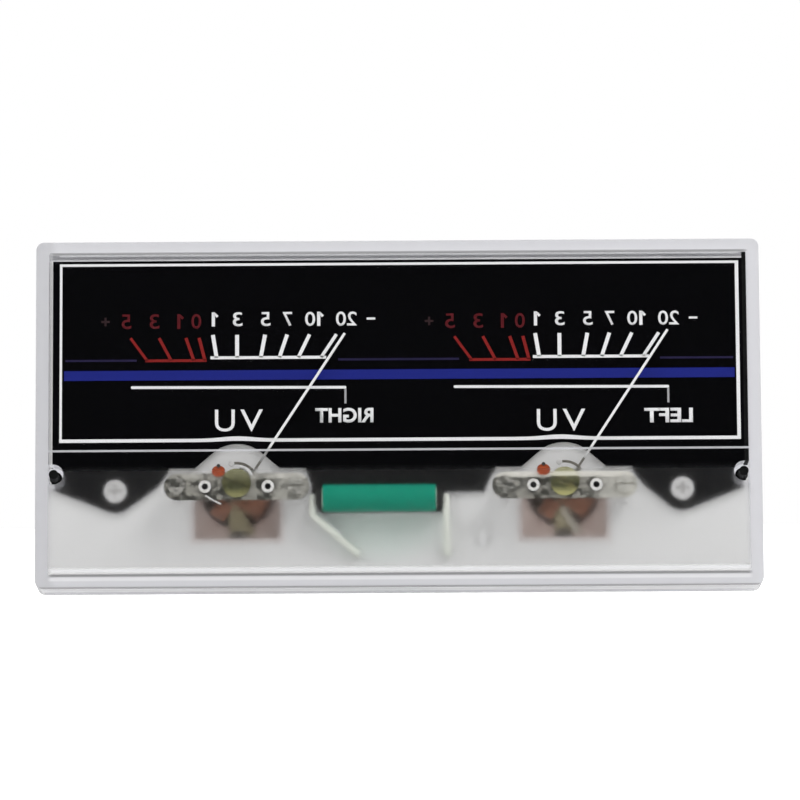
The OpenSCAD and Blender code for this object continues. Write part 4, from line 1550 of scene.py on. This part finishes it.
@dataclass
class Studio:
    """The pale floor, the soft lamps, the white surroundings and the camera."""

    layout: Layout
    lean: float = 9.87
    roll: float = 0.343
    distance: float = 933.0
    lens: float = 253.9
    aim_z: float = 29.0
    shift: Span = (0.00206, 0.01556)
    heel_z: float = 3.8
    floor_size: float = 1.1
    floor_gap: float = 0.02
    floor_white: float = 0.75
    floor_glow: float = 0.55
    ambient: float = 0.6
    mirrored_white: float = 0.95
    mirrored_dark: float = 0.015
    dark_way: Spot = (0, -0.985, 0.17)
    lamp_aim: Spot = (0, 0, 0.03)
    lamps: tuple[Softbox, ...] = (
        Softbox("key", (0.42, -0.45, 0.62), 0.45, 3.2),
        Softbox("fill", (-0.5, -0.5, 0.45), 0.5, 1.4),
        Softbox("top", (0.0, 0.15, 0.75), 0.5, 1.8),
    )

    def make(self) -> None:
        """Sets up the whole studio."""
        self.camera()
        self.floor()
        self.world()
        for lamp in self.lamps:
            self.lamp(lamp)
        bpy.context.scene.view_settings.view_transform = "Standard"

    def camera(self) -> None:
        """Stands the camera where the photograph was taken from."""
        lean, roll = math.radians(self.lean), math.radians(self.roll)
        ahead = Vector((0, math.cos(lean), math.sin(lean)))
        across = Vector((1, 0, 0))
        upward = Vector((0, -math.sin(lean), math.cos(lean)))
        right = math.cos(roll) * across - math.sin(roll) * upward
        up = math.sin(roll) * across + math.cos(roll) * upward
        turn = Matrix((right, up, -ahead)).transposed().to_4x4()
        target = Vector((0, self.layout.low.y, self.aim_z * MM))
        data = bpy.data.cameras.new("camera")
        data.lens = self.lens
        data.shift_x, data.shift_y = self.shift
        camera = bpy.data.objects.new("camera", data)
        camera.matrix_world = Matrix.Translation(target - ahead * self.distance * MM) @ turn
        bpy.context.collection.objects.link(camera)
        bpy.context.scene.camera = camera

    def floor(self) -> None:
        """Lays the floor under the cover's lower edge and the tub's rear edge."""
        edge = Vector((0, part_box("front_cover")[1][1], 0))
        heel = Vector((0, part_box("base_body")[1][1], self.heel_z * MM))
        slope = math.atan2(heel.z - edge.z, heel.y - edge.y)
        bpy.ops.mesh.primitive_plane_add(size=self.floor_size, rotation=(slope, 0, 0))
        piece = bpy.context.object
        piece.location = edge + Vector((0, 0, -self.floor_gap * MM))
        set_down(piece)
        piece.name = "floor"
        s = Shader("floor")
        path = s.add("LightPath").outputs
        matt = s.add("BsdfDiffuse", {"Color": (*(self.floor_white,) * 3, 1)}).outputs[0]
        glow = s.add("Emission", {"Color": (1, 1, 1, 1), "Strength": self.floor_glow})
        seen = s.math("MAXIMUM", path["Is Camera Ray"], path["Is Transmission Ray"])
        both = s.add("AddShader", {0: matt, 1: glow.outputs[0]})
        mixed = s.add("MixShader", {0: seen, 1: matt, 2: both.outputs[0]})
        paint(piece, s.close(mixed.outputs[0]))
        piece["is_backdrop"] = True

    def world(self) -> None:
        """Surrounds the object with white, apart from a dark patch before its front."""
        world = bpy.data.worlds.new("studio")
        bpy.context.scene.world = world
        world.use_nodes = True
        g = Graph(world.node_tree)
        way = g.add("TexCoord").outputs["Generated"]
        ahead = g.add("VectorMath", {0: way, 1: self.dark_way}, operation="DOT_PRODUCT")
        dark = g.ramp(ahead.outputs["Value"], 0.0, 0.5)
        path = g.add("LightPath").outputs
        mirrored = g.mix(dark, (self.mirrored_white,) * 3, (self.mirrored_dark,) * 3)
        shiny = g.math("MAXIMUM", path["Is Glossy Ray"], path["Is Transmission Ray"])
        unseen = g.mix(shiny, (self.ambient,) * 3, mirrored)
        colour = g.mix(path["Is Camera Ray"], unseen, (1.0, 1.0, 1.0))
        background = g.add("Background", {"Color": colour, "Strength": 1.0})
        g.add("OutputWorld", {"Surface": background.outputs[0]})

    def lamp(self, box: Softbox) -> None:
        """Hangs one softbox, turned to the object's middle.

        Args:
            box: the lamp's place, size and power.
        """
        data = bpy.data.lights.new(box.name, "AREA")
        data.size = box.size
        data.energy = box.power
        lamp = bpy.data.objects.new(box.name, data)
        lamp.location = box.place
        lamp.visible_glossy = False
        lamp.visible_transmission = False
        way = Vector(self.lamp_aim) - lamp.location
        lamp.rotation_euler = way.to_track_quat("-Z", "Y").to_euler()
        bpy.context.collection.objects.link(lamp)


def main() -> None:
    """Builds the studio and dresses the meter, one assembly after the other."""
    logging.basicConfig(level=logging.INFO, format="%(message)s")
    layout = Layout.read()
    Studio(layout).make()
    finishes = make_finishes(layout)
    Parts(finishes).make()
    Fittings(layout).make(finishes)
    Cover().make(finishes["clear_plastic"])
    DialPrint().make()


if __name__ == "__main__":
    main()
